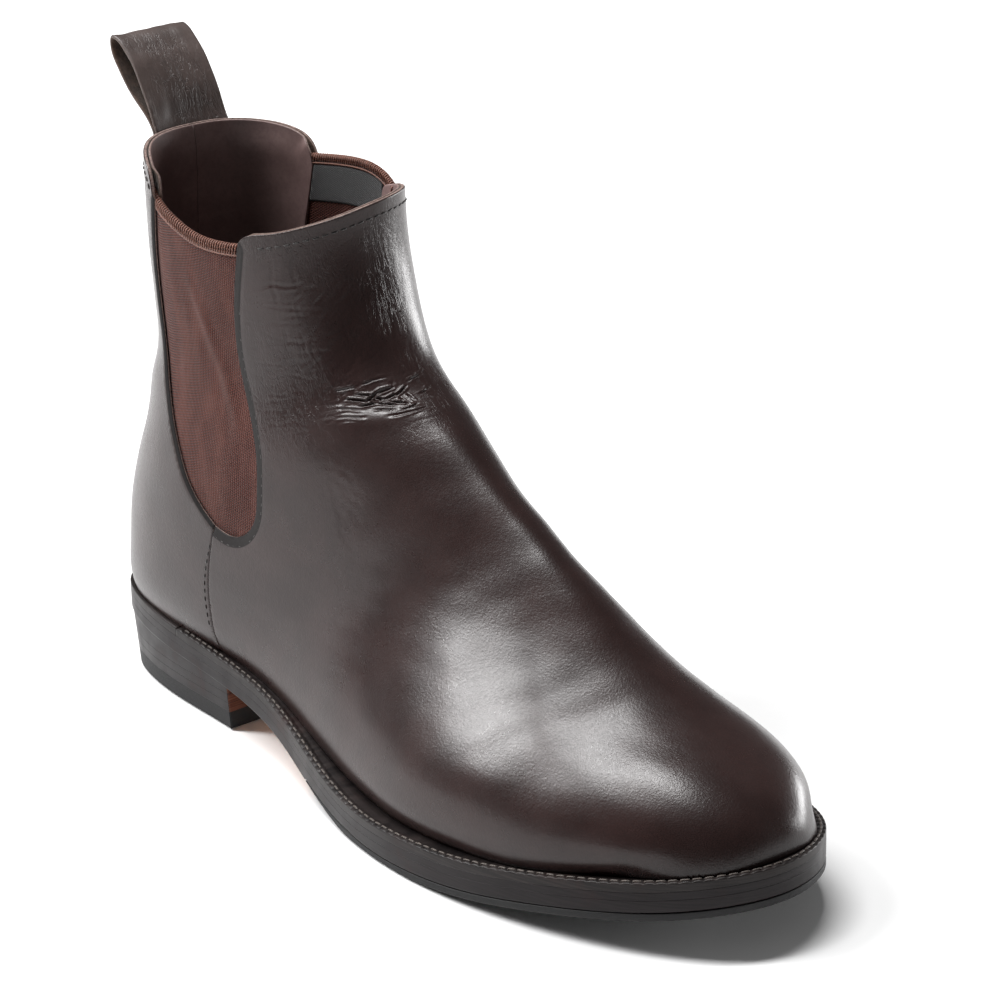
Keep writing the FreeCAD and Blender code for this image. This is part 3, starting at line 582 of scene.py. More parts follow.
def steps_inward(outline):
    """The (u, v) step at each outline point that goes one millimetre inward over the form."""
    points = surface(outline)
    inward = np.cross(normals(outline), unit(np.roll(points, -1, axis=0) - np.roll(points, 1, axis=0)))
    if signed_area(flat(outline)) > 0:
        inward = -inward
    e, g = 0.02, 0.002
    su = (surface(outline + (e, 0)) - surface(outline - (e, 0))) / (2 * e)
    sv = (surface(outline + (0, g)) - surface(outline - (0, g))) / (2 * g)
    guu, gvv, guv = (su * su).sum(1), (sv * sv).sum(1), (su * sv).sum(1)
    wu, wv = (inward * su).sum(1), (inward * sv).sum(1)
    det = guu * gvv - guv * guv + 1e-9
    return np.stack([(wu * gvv - wv * guv) / det, (wv * guu - wu * guv) / det], -1)


def skin(outline, spacing, loops=(), fine=()):
    """Triangles over the part of the form inside an outline. The outline's points come first."""
    edge_points, plane, step = surface(outline), flat(outline), steps_inward(outline)
    extra = []
    for d in loops:
        p = outline + step * d
        ok = distance(surface(p), edge_points) > 0.85 * d
        extra.append(p[ok & inside(flat(p), plane)])
    body = grid_points(outline, spacing, fine)
    body = body[inside(flat(body), plane)]
    gap = distance(surface(body), edge_points)
    body = body[gap > (loops[-1] if len(loops) else 0) + 0.55 * spacing * (0.6 if fine else 1)]
    uv = np.concatenate([outline] + extra + [body])
    points, faces, source = triangulated(flat(uv), len(outline), 1e-5)
    missing = source < 0
    if missing.any():
        more = points[missing]
        more = np.stack([np.interp(more[:, 1], ARC_TABLE, U_TABLE), more[:, 0] / ACROSS], -1)
        source[missing] = len(uv) + np.arange(missing.sum())
        uv = np.concatenate([uv, more])
    return uv, filling(source[faces], flat(uv), plane, 1e-7)


def rounding(d, r):
    return np.where(d < r, r - np.sqrt(np.clip(r * r - (r - np.clip(d, 0, r)) ** 2, 0, None)), 0.0)


def sheet_panel(name, outline, top, low, slot_name, mats, marks, spacing=1.3, back=3.2, edge=0.32,
                fine=(), loops=(0.08, 0.22, 0.45, 0.9), back_loops=(), worn=True):
    """A cut piece of leather following the form between two depths, with rounded cut edges.
    top and low give the depth below the form from the distances to the edge and to the marks, which are
    named lines. Those distances are kept for the materials."""
    scale = 1.0
    outline = outline[:-1] if np.allclose(outline[0], outline[-1]) else outline
    if signed_area(flat(outline)) < 0:
        outline = outline[::-1]
    upper_uv, upper = skin(outline, spacing * scale, loops, fine)
    under_uv, under = skin(outline, back * scale, back_loops)
    rim_points = surface(outline)
    m, first = len(outline), len(upper_uv)
    blocks, rims, kept = [], [], {key: [] for key in marks}
    for uv, is_top in ((upper_uv, True), (under_uv, False)):
        p, n = surface(uv), normals(uv)
        d = distance(p, rim_points)
        d[:m] = 0
        lift = relief(uv) if worn else 0.3 * relief(uv)
        near = {key: distance(p, line, False) * share for key, (line, share) in marks.items()}
        if is_top:
            depth = top(d, near) + rounding(d, edge) - lift
        else:
            depth = low(d, near) - rounding(d, edge) - np.clip(lift, 0, None)
        blocks.append(p - n * depth[:, None])
        rims.append(d)
        for key in marks:
            kept[key].append(near[key])
    i = np.arange(m)
    j = (i + 1) % m
    rim = first + len(under_uv)
    points = np.concatenate(blocks + [0.5 * (blocks[0][:m] + blocks[1][:m])])
    faces = upper[:, ::-1].tolist() + (under + first).tolist()
    faces += np.stack([i, j, rim + j, rim + i], -1).tolist()
    faces += np.stack([rim + i, rim + j, first + j, first + i], -1).tolist()
    index = [0] * len(upper) + [1] * len(under) + [2] * (2 * m)
    uv = np.concatenate([upper_uv, under_uv, outline])
    attributes = {"along": np.stack([(uv[:, 1] - 1) * ACROSS, arc(uv[:, 0]), np.zeros(len(uv))], -1)}
    for key, values in [("rim", rims)] + list(kept.items()):
        attributes[key] = np.concatenate(values + [np.zeros(m)])
    return make(name, points, faces, mats, index, attributes)


def strip(points_rows, closed=False):
    """Quads between successive equal rows of points."""
    rows = np.asarray(points_rows)
    n, m = rows.shape[:2]
    i, j = np.meshgrid(np.arange(n - 1), np.arange(m if closed else m - 1), indexing="ij")
    a = i * m + j
    b = i * m + (j + 1) % m
    return rows.reshape(-1, 3), np.stack([a, b, b + m, a + m], -1).reshape(-1, 4)


def tube(path, radius, sides=6, flatten=1.0, up=(0.0, 0.0, 1.0)):
    """A round thread along a path, closed at both ends."""
    path = np.asarray(path, float)
    t = unit(np.gradient(path, axis=0))
    side = np.cross(t, np.broadcast_to(up, path.shape))
    bad = np.linalg.norm(side, axis=1) < 1e-3
    side[bad] = np.cross(t[bad], (0.3, 0.9, 0.1))
    side = unit(side)
    over = np.cross(side, t)
    radius = np.broadcast_to(radius, (len(path),))[:, None, None]
    angle = (np.arange(sides) * 2 * np.pi / sides)[None, :, None]
    ring = path[:, None] + radius * (np.cos(angle) * side[:, None] + flatten * np.sin(angle) * over[:, None])
    points, faces = strip(ring, True)
    caps = [list(range(sides)), list(range((len(path) - 1) * sides, len(path) * sides))[::-1]]
    return points, faces[:, ::-1].tolist() + caps


def thread_piece(name, node, parts, mat="stitch"):
    """Threads joined to one piece, which stands for a CAD node."""
    points, faces, base = [], [], 0
    for p, f in parts:
        points.append(p)
        faces += [[base + int(i) for i in face] for face in f]
        base += len(p)
    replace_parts(make(name, np.concatenate(points), faces, [MATS[mat]]), node)


def stitch_parts(points, ups, pitch, length, radius, sink, rise):
    """Threads laid one after another along a line of points with their surface normals."""
    run = run_of(points)
    count = max(1, int(run[-1] / pitch))
    out = []
    shape = np.array([-0.5, -0.42, -0.25, 0, 0.25, 0.42, 0.5])
    lift = np.array([-sink, 0.25 * rise, 0.85 * rise, rise, 0.85 * rise, 0.25 * rise, -sink])
    rng = np.random.default_rng(len(points))
    for k in range(count):
        at = run[-1] * (k + 0.5) / count
        p = interp_rows(at + shape * length, run, points)
        n = unit(interp_rows(at, run, ups))
        across = unit(np.cross(n, p[-1] - p[0]))
        p = p + across * (shape * length * rng.normal(0, 0.05))[:, None] + n * lift[:, None]
        out.append(tube(p, radius * np.array([0.8, 1, 1, 1, 1, 1, 0.8]), 6, 0.8, n))
    return out


def on_leather(uv, extra):
    n = normals(uv)
    return surface(uv) + n * (relief(uv) + extra)[:, None], n


# ---- materials ----------------------------------------------------------------------------------


# pitches of the elastic's ribs and picks, and the width of the pressed margin round its windows, which the
# leather material also darkens as painted shade
RIB, PICK = 0.9, 0.84
MARGIN = 4.3


class Graph:
    """A material's nodes, built by short calls."""

    def __init__(self, name):
        self.material = bpy.data.materials.new(name)
        self.material.use_nodes = True
        self.tree = self.material.node_tree
        self.tree.nodes.clear()
        self.out = self.tree.nodes.new("ShaderNodeOutputMaterial")
        self.shader = self.tree.nodes.new("ShaderNodeBsdfPrincipled")
        self.tree.links.new(self.shader.outputs[0], self.out.inputs[0])
        self.coordinates = self.tree.nodes.new("ShaderNodeTexCoord").outputs["Object"]

    def put(self, socket, value):
        if hasattr(value, "is_linked"):
            self.tree.links.new(value, socket)
        elif socket.type == "RGBA":
            socket.default_value = tuple(value)[:3] + (1.0,)
        else:
            socket.default_value = value

    def node(self, kind, inputs=(), **settings):
        made = self.tree.nodes.new(kind)
        for key, value in settings.items():
            setattr(made, key, value)
        for key, value in dict(inputs).items():
            self.put(made.inputs[key], value)
        return made

    def stretch(self, vector, scale, turn=(0, 0, 0)):
        return self.node("ShaderNodeMapping", {"Vector": vector, "Scale": scale, "Rotation": turn}).outputs[0]

    def noise(self, scale, detail=3.0, rough=0.5, vector=None, distortion=0.0):
        return self.node("ShaderNodeTexNoise", {
            "Vector": vector or self.coordinates, "Scale": scale, "Detail": detail, "Roughness": rough,
            "Distortion": distortion}).outputs["Fac"]

    def cells(self, scale, vector=None, feature="F1", output="Distance"):
        return self.node("ShaderNodeTexVoronoi", {"Vector": vector or self.coordinates, "Scale": scale},
                         feature=feature).outputs[output]

    def along(self):
        """Millimetres across and along the piece: the vector and its two parts."""
        vector = self.node("ShaderNodeAttribute", attribute_name="along").outputs["Vector"]
        axes = self.node("ShaderNodeSeparateXYZ", {0: vector}).outputs
        return vector, axes[0], axes[1]

    def ripple(self, value, pitch, kind="SINE"):
        return self.math(kind, self.math("MULTIPLY", value, 2 * math.pi / pitch))

    def tones(self, value, low, high, dark, light):
        return self.mix(self.span(value, low, high), dark, light)

    def math(self, operation, a, b=0.0):
        return self.node("ShaderNodeMath", {0: a, 1: b}, operation=operation).outputs[0]

    def span(self, value, low, high, to_low=0.0, to_high=1.0):
        return self.node("ShaderNodeMapRange", {0: value, 1: low, 2: high, 3: to_low, 4: to_high},
                         interpolation_type="SMOOTHSTEP").outputs[0]

    def mix(self, factor, a, b):
        made = self.node("ShaderNodeMix", data_type="RGBA")
        self.put(made.inputs[0], factor)
        self.put(made.inputs[6], a)
        self.put(made.inputs[7], b)
        return made.outputs[2]

    def bump(self, height, strength, distance=0.0002, normal=None):
        made = self.node("ShaderNodeBump", {"Strength": strength, "Distance": distance, "Height": height})
        if normal is not None:
            self.put(made.inputs["Normal"], normal)
        return made.outputs[0]

    def finish(self, color, roughness, normal=None, **fixed):
        self.put(self.shader.inputs["Base Color"], color)
        self.put(self.shader.inputs["Roughness"], roughness)
        if normal is not None:
            self.put(self.shader.inputs["Normal"], normal)
        for key, value in fixed.items():
            self.put(self.shader.inputs[key.replace("_", " ").title().replace("Ior", "IOR")], value)
        return self.material


def leather(name, dark, light, roughness, grain, wrinkle=0.0, margin=None, coat=0.1, specular=0.5):
    """Smooth dyed calf leather. margin is the width of the pressed edge round the gore windows, in mm; there
    the colour is darkened as painted shade.
    """
    g = Graph(name)
    color = g.tones(g.noise(38, 4, 0.6), 0.35, 0.68, dark, light)
    fine = g.noise(900, 2, 0.5)
    color = g.mix(g.span(fine, 0.45, 0.65, 0.0, 0.2), color, tuple(c * 0.7 for c in dark))
    rough = g.math("ADD", g.span(g.noise(60, 3, 0.6), 0.3, 0.7, roughness - 0.005, roughness + 0.03),
                   g.span(fine, 0.3, 0.8, 0.0, 0.05))
    pores = g.math("ADD", g.math("MULTIPLY", g.cells(1500), 0.6),
                   g.math("MULTIPLY", g.noise(2100, 2, 0.6), 0.7))
    normal = g.bump(pores, grain, 0.00012)
    normal = g.bump(g.noise(560, 4, 0.62), grain * 0.42, 0.00035, normal)
    if wrinkle:
        # fine lines in patches, only faint below the ankle
        along, _, down = g.along()
        zone = g.math("MULTIPLY", g.span(g.noise(0.035, 2, 0.5, along), 0.40, 0.60),
                      g.span(down, 84.0, 112.0, 1.0, 0.04))
        streaks = g.noise(0.55, 3, 0.55, g.stretch(along, (1.0, 0.22, 1.0), (0, 0, 0.5)), 1.2)
        lines = g.math("ABSOLUTE", g.math("SUBTRACT", streaks, 0.5))
        lines = g.math("MULTIPLY", g.span(lines, 0.0, 0.06, 0.0, 1.0), zone)
        normal = g.bump(lines, wrinkle, 0.00016, normal)
    if margin:
        # painted shade: the pressed margin round the windows is darkened in colour towards near black, and
        # made rougher
        window = g.node("ShaderNodeAttribute", attribute_name="window").outputs["Fac"]
        near = g.span(window, margin * 0.86, margin, 1.0, 0.0)
        color = g.mix(near, color, tuple(c * 0.25 for c in dark))
        rough = g.math("ADD", rough, g.math("MULTIPLY", near, 0.5))
    return g.finish(color, rough, normal, coat_weight=coat, coat_roughness=0.22, specular_ior_level=specular)


def grained(name, noise, dark, light, rough, bump, stretch=None, band=(0.3, 0.7), relief_noise=None,
            patches=None, **fixed):
    """A material whose colour follows one noise, with its relief from that noise or another one.
    rough is one number or the two ends of a range. patches are a noise, two levels, a share and a colour."""
    g = Graph(name)
    grain = g.noise(*noise, vector=g.stretch(g.coordinates, stretch) if stretch else None)
    color = g.tones(grain, *band, dark, light)
    if patches:
        patch, low, high, share, tint = patches
        color = g.mix(g.span(g.noise(*patch), low, high, 0, share), color, tint)
    rough = g.span(grain, 0.2, 0.8, *rough) if isinstance(rough, tuple) else rough
    height = g.noise(*relief_noise) if relief_noise else grain
    return g.finish(color, rough, g.bump(height, *bump), **fixed)


def cut_edge(name, dark, light):
    """The raw fibrous edge of cut leather."""
    return grained(name, (700, 5, 0.7), dark, light, (0.55, 0.8), (0.6, 0.0003), (1, 1, 3),
                   relief_noise=(1500, 4, 0.7), specular_ior_level=0.3)


def flesh(name, dark, light):
    """The napped back of leather."""
    return grained(name, (420, 6, 0.7), dark, light, 0.88, (0.7, 0.0004), relief_noise=(1300, 5, 0.75),
                   patches=((60, 3), 0.4, 0.7, 0.5, dark), sheen_weight=0.25, specular_ior_level=0.2)


def knit(name, dark, light, painted_sheen_tint):
    """Ribbed elastic: warp ribs down the window and fine weft picks across them."""
    g = Graph(name)
    along, x, z = g.along()
    row = g.math("FLOOR", g.math("DIVIDE", x, RIB))
    shift = g.math("MULTIPLY", g.math("FRACT", g.math("MULTIPLY", row, 0.5)), PICK)
    pick = g.ripple(g.math("ADD", z, shift), PICK)
    rib = g.ripple(x, RIB, "COSINE")
    weave = g.math("ADD", g.math("MULTIPLY", pick, 0.5), g.math("MULTIPLY", rib, 0.35))
    jitter = g.math("MULTIPLY", g.math("SUBTRACT", g.noise(1.1, 3, 0.6, along), 0.5), 0.9)
    height = g.math("ADD", weave, jitter)
    color = g.tones(height, -0.55, 0.6, dark, light)
    # streaky patches at random are mixed towards a lighter, greyer colour: partly wear, partly painted sheen
    worn = g.span(g.noise(0.10, 3, 0.6, g.stretch(along, (1.0, 0.45, 1))), 0.42, 0.66)
    color = g.mix(g.math("MULTIPLY", worn, 0.4), color, painted_sheen_tint)
    normal = g.bump(height, 0.9, 0.0003)
    return g.finish(color, 0.8, normal, sheen_weight=0.08, sheen_roughness=0.45, specular_ior_level=0.2)


def woven_tape(name, dark, light):
    g = Graph(name)
    along, x, z = g.along()
    height = g.math("MULTIPLY", g.ripple(x, 0.8), g.ripple(z, 0.7))
    color = g.tones(height, -0.8, 0.8, dark, light)
    color = g.mix(g.span(g.noise(0.4, 3, 0.6, along), 0.4, 0.7, 0, 0.4), color, light)
    return g.finish(color, 0.8, g.bump(height, 0.6, 0.0002), sheen_weight=0.2, specular_ior_level=0.25)


def thread(name, dark, light):
    return grained(name, (2600, 3, 0.6), dark, light, 0.5, (0.6, 0.0001), (1, 1, 2), (0.35, 0.65),
                   sheen_weight=0.15, specular_ior_level=0.4)


def edge_finish(name, dark, light, roughness):
    """Waxed and burnished sole edge: dark, with faint lengthwise lines."""
    g = Graph(name)
    lengthwise = g.noise(160, 4, 0.6, g.stretch(g.coordinates, (0.25, 0.25, 14)))
    color = g.tones(lengthwise, 0.35, 0.7, dark, light)
    color = g.mix(g.span(g.noise(45, 4, 0.65), 0.56, 0.75, 0, 0.5), color, (0.032, 0.014, 0.012))
    rough = g.span(g.noise(90, 4, 0.6), 0.3, 0.7, roughness - 0.05, roughness + 0.09)
    normal = g.bump(lengthwise, 0.0175, 0.0003)
    normal = g.bump(g.noise(1400, 3, 0.6), 0.12, 0.0001, normal)
    return g.finish(color, rough, normal, coat_weight=0.03, coat_roughness=0.3, specular_ior_level=0.18)


def sole_tan(name):
    g = Graph(name)
    fibres = g.noise(90, 5, 0.65, g.stretch(g.coordinates, (1, 2.2, 1)))
    color = g.tones(fibres, 0.3, 0.7, (0.34, 0.13, 0.045), (0.52, 0.23, 0.09))
    color = g.mix(g.span(g.cells(700, feature="SMOOTH_F1"), 0.1, 0.5, 0.3, 0), color, (0.20, 0.075, 0.03))
    normal = g.bump(g.noise(600, 4, 0.6), 0.25, 0.0003)
    return g.finish(color, g.span(fibres, 0.2, 0.8, 0.38, 0.56), normal, specular_ior_level=0.4)


def rubber(name):
    return grained(name, (1500, 4, 0.7), (0.006, 0.0058, 0.0063), (0.014, 0.0135, 0.0142), (0.5, 0.68),
                   (0.3, 0.0002), patches=((55, 4, 0.6), 0.55, 0.8, 0.25, (0.05, 0.047, 0.045)),
                   specular_ior_level=0.3)


def metal(name, color, roughness):
    return grained(name, (900, 4, 0.6), tuple(c * 0.7 for c in color), color, (roughness, roughness + 0.15),
                   (0.15, 0.0001), (1, 1, 0.1), metallic=1.0)


def fibreboard(name, dark, light, scale=260):
    return grained(name, (scale, 6, 0.7), dark, light, 0.8, (0.4, 0.0004), band=(0.35, 0.65),
                   specular_ior_level=0.2)


def granules(name, dark, light):
    g = Graph(name)
    cells = g.cells(330, output="Color")
    tone = g.node("ShaderNodeSeparateXYZ", {0: cells}).outputs[0]
    color = g.mix(tone, dark, light)
    edge = g.span(g.cells(330, feature="DISTANCE_TO_EDGE"), 0.0, 0.12)
    color = g.mix(edge, tuple(c * 0.5 for c in dark), color)
    return g.finish(color, 0.85, g.bump(edge, 0.4, 0.0005), specular_ior_level=0.2)


def floor_paper(name):
    return grained(name, (30, 3, 0.5), (0.86, 0.86, 0.86), (0.88, 0.88, 0.88), 0.9, (0.02, 0.001),
                   specular_ior_level=0.1)


DARK, LIGHT = (0.0164, 0.0074, 0.0067), (0.0262, 0.0130, 0.0119)
MATS = {
    "upper": leather("upper_leather", DARK, LIGHT, 0.27, 0.32, 0.42, MARGIN, specular=0.37),
    "upper_back": flesh("leather_flesh_side", (0.045, 0.026, 0.02), (0.11, 0.07, 0.055)),
    "raw": cut_edge("leather_cut_edge", (0.10, 0.065, 0.056), (0.30, 0.215, 0.19)),
    "lining": leather("lining_leather", (0.150, 0.094, 0.088), (0.230, 0.152, 0.144), 0.44, 0.16, coat=0.0),
    "lining_back": flesh("lining_flesh_side", (0.06, 0.035, 0.025), (0.12, 0.08, 0.06)),
    "strap": leather("strap_leather", (0.050, 0.034, 0.030), (0.090, 0.065, 0.059), 0.42, 0.30, 0.9,
                     coat=0.05),
    "strap_back": flesh("strap_flesh_side", (0.036, 0.021, 0.015), (0.095, 0.058, 0.042)),
    "elastic": knit("gore_elastic", (0.018, 0.0036, 0.0022), (0.108, 0.028, 0.018), (0.125, 0.043, 0.031)),
    "overlock": thread("overlock_thread", (0.06, 0.018, 0.010), (0.24, 0.090, 0.055)),
    "tape": woven_tape("gore_tape", (0.006, 0.006, 0.007), (0.024, 0.0225, 0.023)),
    "stitch": thread("upper_thread", (0.006, 0.0045, 0.0045), (0.030, 0.023, 0.021)),
    "welt_stitch": thread("welt_thread", (0.022, 0.015, 0.012), (0.105, 0.082, 0.068)),
    "welt": edge_finish("welt_leather", (0.010, 0.008, 0.008), (0.028, 0.022, 0.021), 0.40),
    "edge": edge_finish("sole_edge_dressing", (0.0068, 0.0046, 0.0050), (0.0148, 0.0104, 0.0114), 0.38),
    "tan": sole_tan("sole_leather"),
    "rubber": rubber("rubber"),
    "breast": edge_finish("heel_breast_leather", (0.07, 0.026, 0.017), (0.17, 0.066, 0.040), 0.45),
    "sock": leather("sock_leather", (0.022, 0.014, 0.012), (0.036, 0.024, 0.020), 0.5, 0.2, coat=0.0),
    "puff": fibreboard("stiffener", (0.32, 0.27, 0.2), (0.5, 0.44, 0.34)),
    "cloth": fibreboard("interlining", (0.5, 0.48, 0.43), (0.68, 0.65, 0.6), 900),
    "board": fibreboard("insole_leather", (0.36, 0.22, 0.12), (0.5, 0.33, 0.19)),
    "steel": metal("shank_steel", (0.55, 0.56, 0.58), 0.3),
    "brass": metal("nail_brass", (0.72, 0.52, 0.22), 0.28),
    "cork": granules("cork", (0.22, 0.12, 0.055), (0.5, 0.32, 0.17)),
}

# ---- upper leather and lining -------------------------------------------------------------------

# how far the upper's lower edge goes below the welt's top
SINK = 0.4
# the leather is thinned by this much at the windows' edges, and steps down at the pressed margin
THINNED, STEP = 0.55, 0.12
# the lining's depth at the collar, what it gives way to the elastic, and its thickness
LINING_DEPTH, LINING_EASE, LINING = 1.52, 1.2, 0.9
# the margin is narrower behind the windows: these multiply the distance that it is measured by
MARGIN_FRONT, MARGIN_BACK = 1.2, 3.6


def joined(*parts):
    """One closed outline from several (u, v) lines, each evenly sampled."""
    rows = []
    for line, spacing in parts:
        rows.append(resample(line, spacing * (1.0))[:-1])
    return np.concatenate(rows)


def seam_down(side):
    line = curve(SEAM, 200)[::-1]
    return place(line[line[:, 1] > level(line[:, 0]) - SINK], side)


def split_waterline(side):
    """The upper's lower edge behind and ahead of the side seam."""
    line = waterline(-SINK, side)
    k = int(np.argmax(surface(line)[:, 0] > SEAM[1][0]))
    return line[:k + 1], line[k:]


def front_collar_line():
    """The front panel's top line from the outer gore to the inner, eased where the two halves meet."""
    outer, inner = [place(curve(FRONT_COLLAR[s], 260, 2.4), s) for s in (OUTER, INNER)]
    line = np.vstack([outer, inner[::-1][1:]])
    reach = 0.13
    near = np.abs(line[:, 1] - 1) < reach
    first, last = np.flatnonzero(near)[[0, -1]]
    a, b = line[first - 4], line[last + 4]
    before, after = line[first - 9], line[last + 9]
    t = (line[first - 3:last + 4, 1] - a[1]) / (b[1] - a[1])
    rise_a = (a[0] - before[0]) / (a[1] - before[1]) * (b[1] - a[1])
    rise_b = (after[0] - b[0]) / (after[1] - b[1]) * (b[1] - a[1])
    line[first - 3:last + 4, 0] = ((2 * t**3 - 3 * t**2 + 1) * a[0] + (t**3 - 2 * t**2 + t) * rise_a
                                   + (3 * t**2 - 2 * t**3) * b[0] + (t**3 - t**2) * rise_b)
    return line


def back_collar_line(side):
    line = place(curve(BACK_COLLAR[side], 260, 2.0), side)
    off = np.minimum(line[:, 1], 2 - line[:, 1])
    keep = off > 0.004
    last = line[keep][-1].copy()
    last[1] = 0.0 if side < 0 else 2.0
    return np.vstack([line[keep], last])


def vamp_outline():
    left, right = [place(curve(GORE_FRONT[s], 300), s) for s in (OUTER, INNER)]
    return joined((left, 0.8), (front_collar_line(), 0.8), (right[::-1], 0.8), (seam_down(INNER), 1.0),
                  (split_waterline(INNER)[1], 1.6), (split_waterline(OUTER)[1][::-1], 1.6),
                  (seam_down(OUTER)[::-1], 1.0))


def quarter_outline(side):
    gore = place(curve(GORE_BACK[side], 300), side)
    collar = back_collar_line(side)
    water = split_waterline(side)[0]
    back = np.stack([np.linspace(collar[-1, 0], water[0, 0], 200), np.full(200, collar[-1, 1])], -1)
    return joined((gore, 0.8), (collar, 0.8), (back, 1.2), (water, 1.6), (seam_down(side)[::-1], 1.0))


def window_points(line, sides):
    rows = [surface(place(curve(line[s], 160), s)) for s in sides]
    return rows[0] if len(rows) == 1 else np.vstack([rows[0], rows[1][::-1]])


def leather_top(d, near):
    """Thinned down to the window's edge, with a small step at the pressed margin."""
    window = near["window"]
    return THINNED * (1 - smooth(window / MARGIN)) + STEP * np.exp(-((window - MARGIN) / 0.5) ** 2)


def leather_low(d, near):
    return np.full_like(d, LEATHER)


def lining_top(d, near):
    """Close to the leather at the collar, and clear of the elastic round the window."""
    apart = np.maximum(smooth(near["open"] / 9.0), 1 - smooth((near["gore"] - 6.5) / 4.0))
    return LINING_DEPTH + LINING_EASE * apart


def lining_low(d, near):
    return lining_top(d, near) + LINING


# finer meshes where the creases are: across from, to, along from, to; spacing
FINE = [((-46, 10, 30, 96), 0.66), ((-22, 2, 73, 91), 0.36)]


def upper_panel(name, node, outline, window, sides, margin, **settings):
    marks = {"window": (window_points(window, sides), margin)}
    piece = sheet_panel(name, outline, leather_top, leather_low, "upper_leather",
                        [MATS["upper"], MATS["upper_back"], MATS["raw"]], marks, **settings)
    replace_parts(piece, node)


def lining_panel(name, node, outline, window, sides):
    collar = surface(front_collar_line() if len(sides) == 2 else back_collar_line(sides[0]))
    marks = {"open": (collar, 1.0), "gore": (window_points(window, sides), 1.0)}
    piece = sheet_panel(name, outline, lining_top, lining_low, "lining_leather",
                        [MATS["lining_back"], MATS["lining"], MATS["raw"]], marks, spacing=3.4, back=2.2,
                        worn=False, loops=(0.5,), back_loops=(0.12, 0.35, 0.9), edge=0.22)
    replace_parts(piece, node)


BOTH = (OUTER, INNER)
upper_panel("vamp_leather", "vamp", vamp_outline(), GORE_FRONT, BOTH, MARGIN_FRONT, fine=FINE, spacing=1.45)
for name, side in SIDES:
    upper_panel("quarter_leather_" + name, "quarter_" + name, quarter_outline(side), GORE_BACK, (side,),
                MARGIN_BACK)
lining_panel("vamp_lining_leather", "vamp_lining", vamp_outline(), GORE_FRONT, BOTH)
for name, side in SIDES:
    lining_panel("quarter_lining_leather_" + name, "quarter_lining_" + name, quarter_outline(side), GORE_BACK,
                 (side,))

# ---- elastic gores ------------------------------------------------------------------------------

GORE_TOPS = {s: curve(GORE_TOP[s], 300) for s in BOTH}
WINDOW_BACK = {s: curve(GORE_BACK[s], 120) for s in BOTH}
WINDOW_FRONT = {s: curve(GORE_FRONT[s], 120) for s in BOTH}


def gore_top_at(x, side):
    return np.interp(x, GORE_TOPS[side][:, 0], GORE_TOPS[side][:, 1])


def below_form(x, z, side, depth):
    """Points at a depth below the form, at places of the side view."""
    uv = place(np.column_stack([x.ravel(), z.ravel()]), side)
    return (surface(uv) - normals(uv) * np.ravel(depth)[:, None]).reshape(x.shape + (3,))


def cell_centres(*grids):
    return np.column_stack([0.25 * (g[:-1, :-1] + g[1:, 1:] + g[1:, :-1] + g[:-1, 1:]).ravel()
                            for g in grids])


# how far the elastic goes under the leather round its window, its depth and thickness, its waves' size
SEWN_MARGIN = 6.2
GORE_DEPTH, ELASTIC, WAVES = 1.66, 1.1, 0.8
TAPE_FRONT, TAPE_BACK = 2.80, 3.38


def gore_wave(x, z):
    """The elastic's own soft waves, and one fold running down and forward."""
    out = 0.30 * soft_noise(x, z, 31, 30) + 0.12 * soft_noise(x * 2.0, z * 0.7, 32, 14)
    a, b = np.array((-94.0, 152.0)), np.array((-64.0, 104.0))
    d = (b - a) / np.linalg.norm(b - a)
    off = (x - a[0]) * d[1] - (z - a[1]) * d[0]
    along = ((x - a[0]) * d[0] + (z - a[1]) * d[1]) / np.linalg.norm(b - a)
    fade = smooth(along * 3) * smooth((1.15 - along) * 3)
    out += fade * (0.75 * np.exp(-(off / 2.6) ** 2) - 0.3 * np.exp(-((off - 5) / 3) ** 2))
    return out


def two_skins(name, front, back, along, mats, keep=None, index=None, body="boot"):
    """A closed cloth from two grids of points, over the kept cells. index gives front, back and rim."""
    rows, cols = front.shape[:2]
    grid = np.arange(rows * cols).reshape(rows, cols)
    cell = np.argwhere(np.ones((rows - 1, cols - 1), bool) if keep is None else keep)
    i, j = cell.T
    quad = np.stack([grid[i, j], grid[i, j + 1], grid[i + 1, j + 1], grid[i + 1, j]], -1)
    edges = {}
    for f in quad.tolist():
        for a, b in zip(f, f[1:] + f[:1]):
            if (b, a) in edges:
                del edges[(b, a)]
            else:
                edges[(a, b)] = True
    total = rows * cols
    faces = quad.tolist() + (quad[:, ::-1] + total).tolist()
    faces += [[b, a, a + total, b + total] for a, b in edges]
    if index:
        index = [index[0]] * len(quad) + [index[1]] * len(quad) + [index[2]] * len(edges)
    points = np.concatenate([front.reshape(-1, 3), back.reshape(-1, 3)])
    flags = np.zeros(2 * total, bool)
    flags[np.unique(np.array([i for f in faces for i in f]))] = True
    new = np.cumsum(flags) - 1
    faces = [[int(new[i]) for i in f] for f in faces]
    attributes = {"along": np.tile(along, (2, 1))[flags]}
    return make(name, points[flags], faces, mats, index, attributes, body)


def side_cloth(name, node, side, x, drop, front, back, keep, mat):
    """A cloth behind the leather, over a grid of x and drops below the gore's top."""
    if side > 0:
        front, back = back, front
    along = np.stack([x.ravel(), -drop.ravel(), np.zeros(x.size)], -1)
    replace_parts(two_skins(name, front, back, along, [MATS[mat]], keep), node)


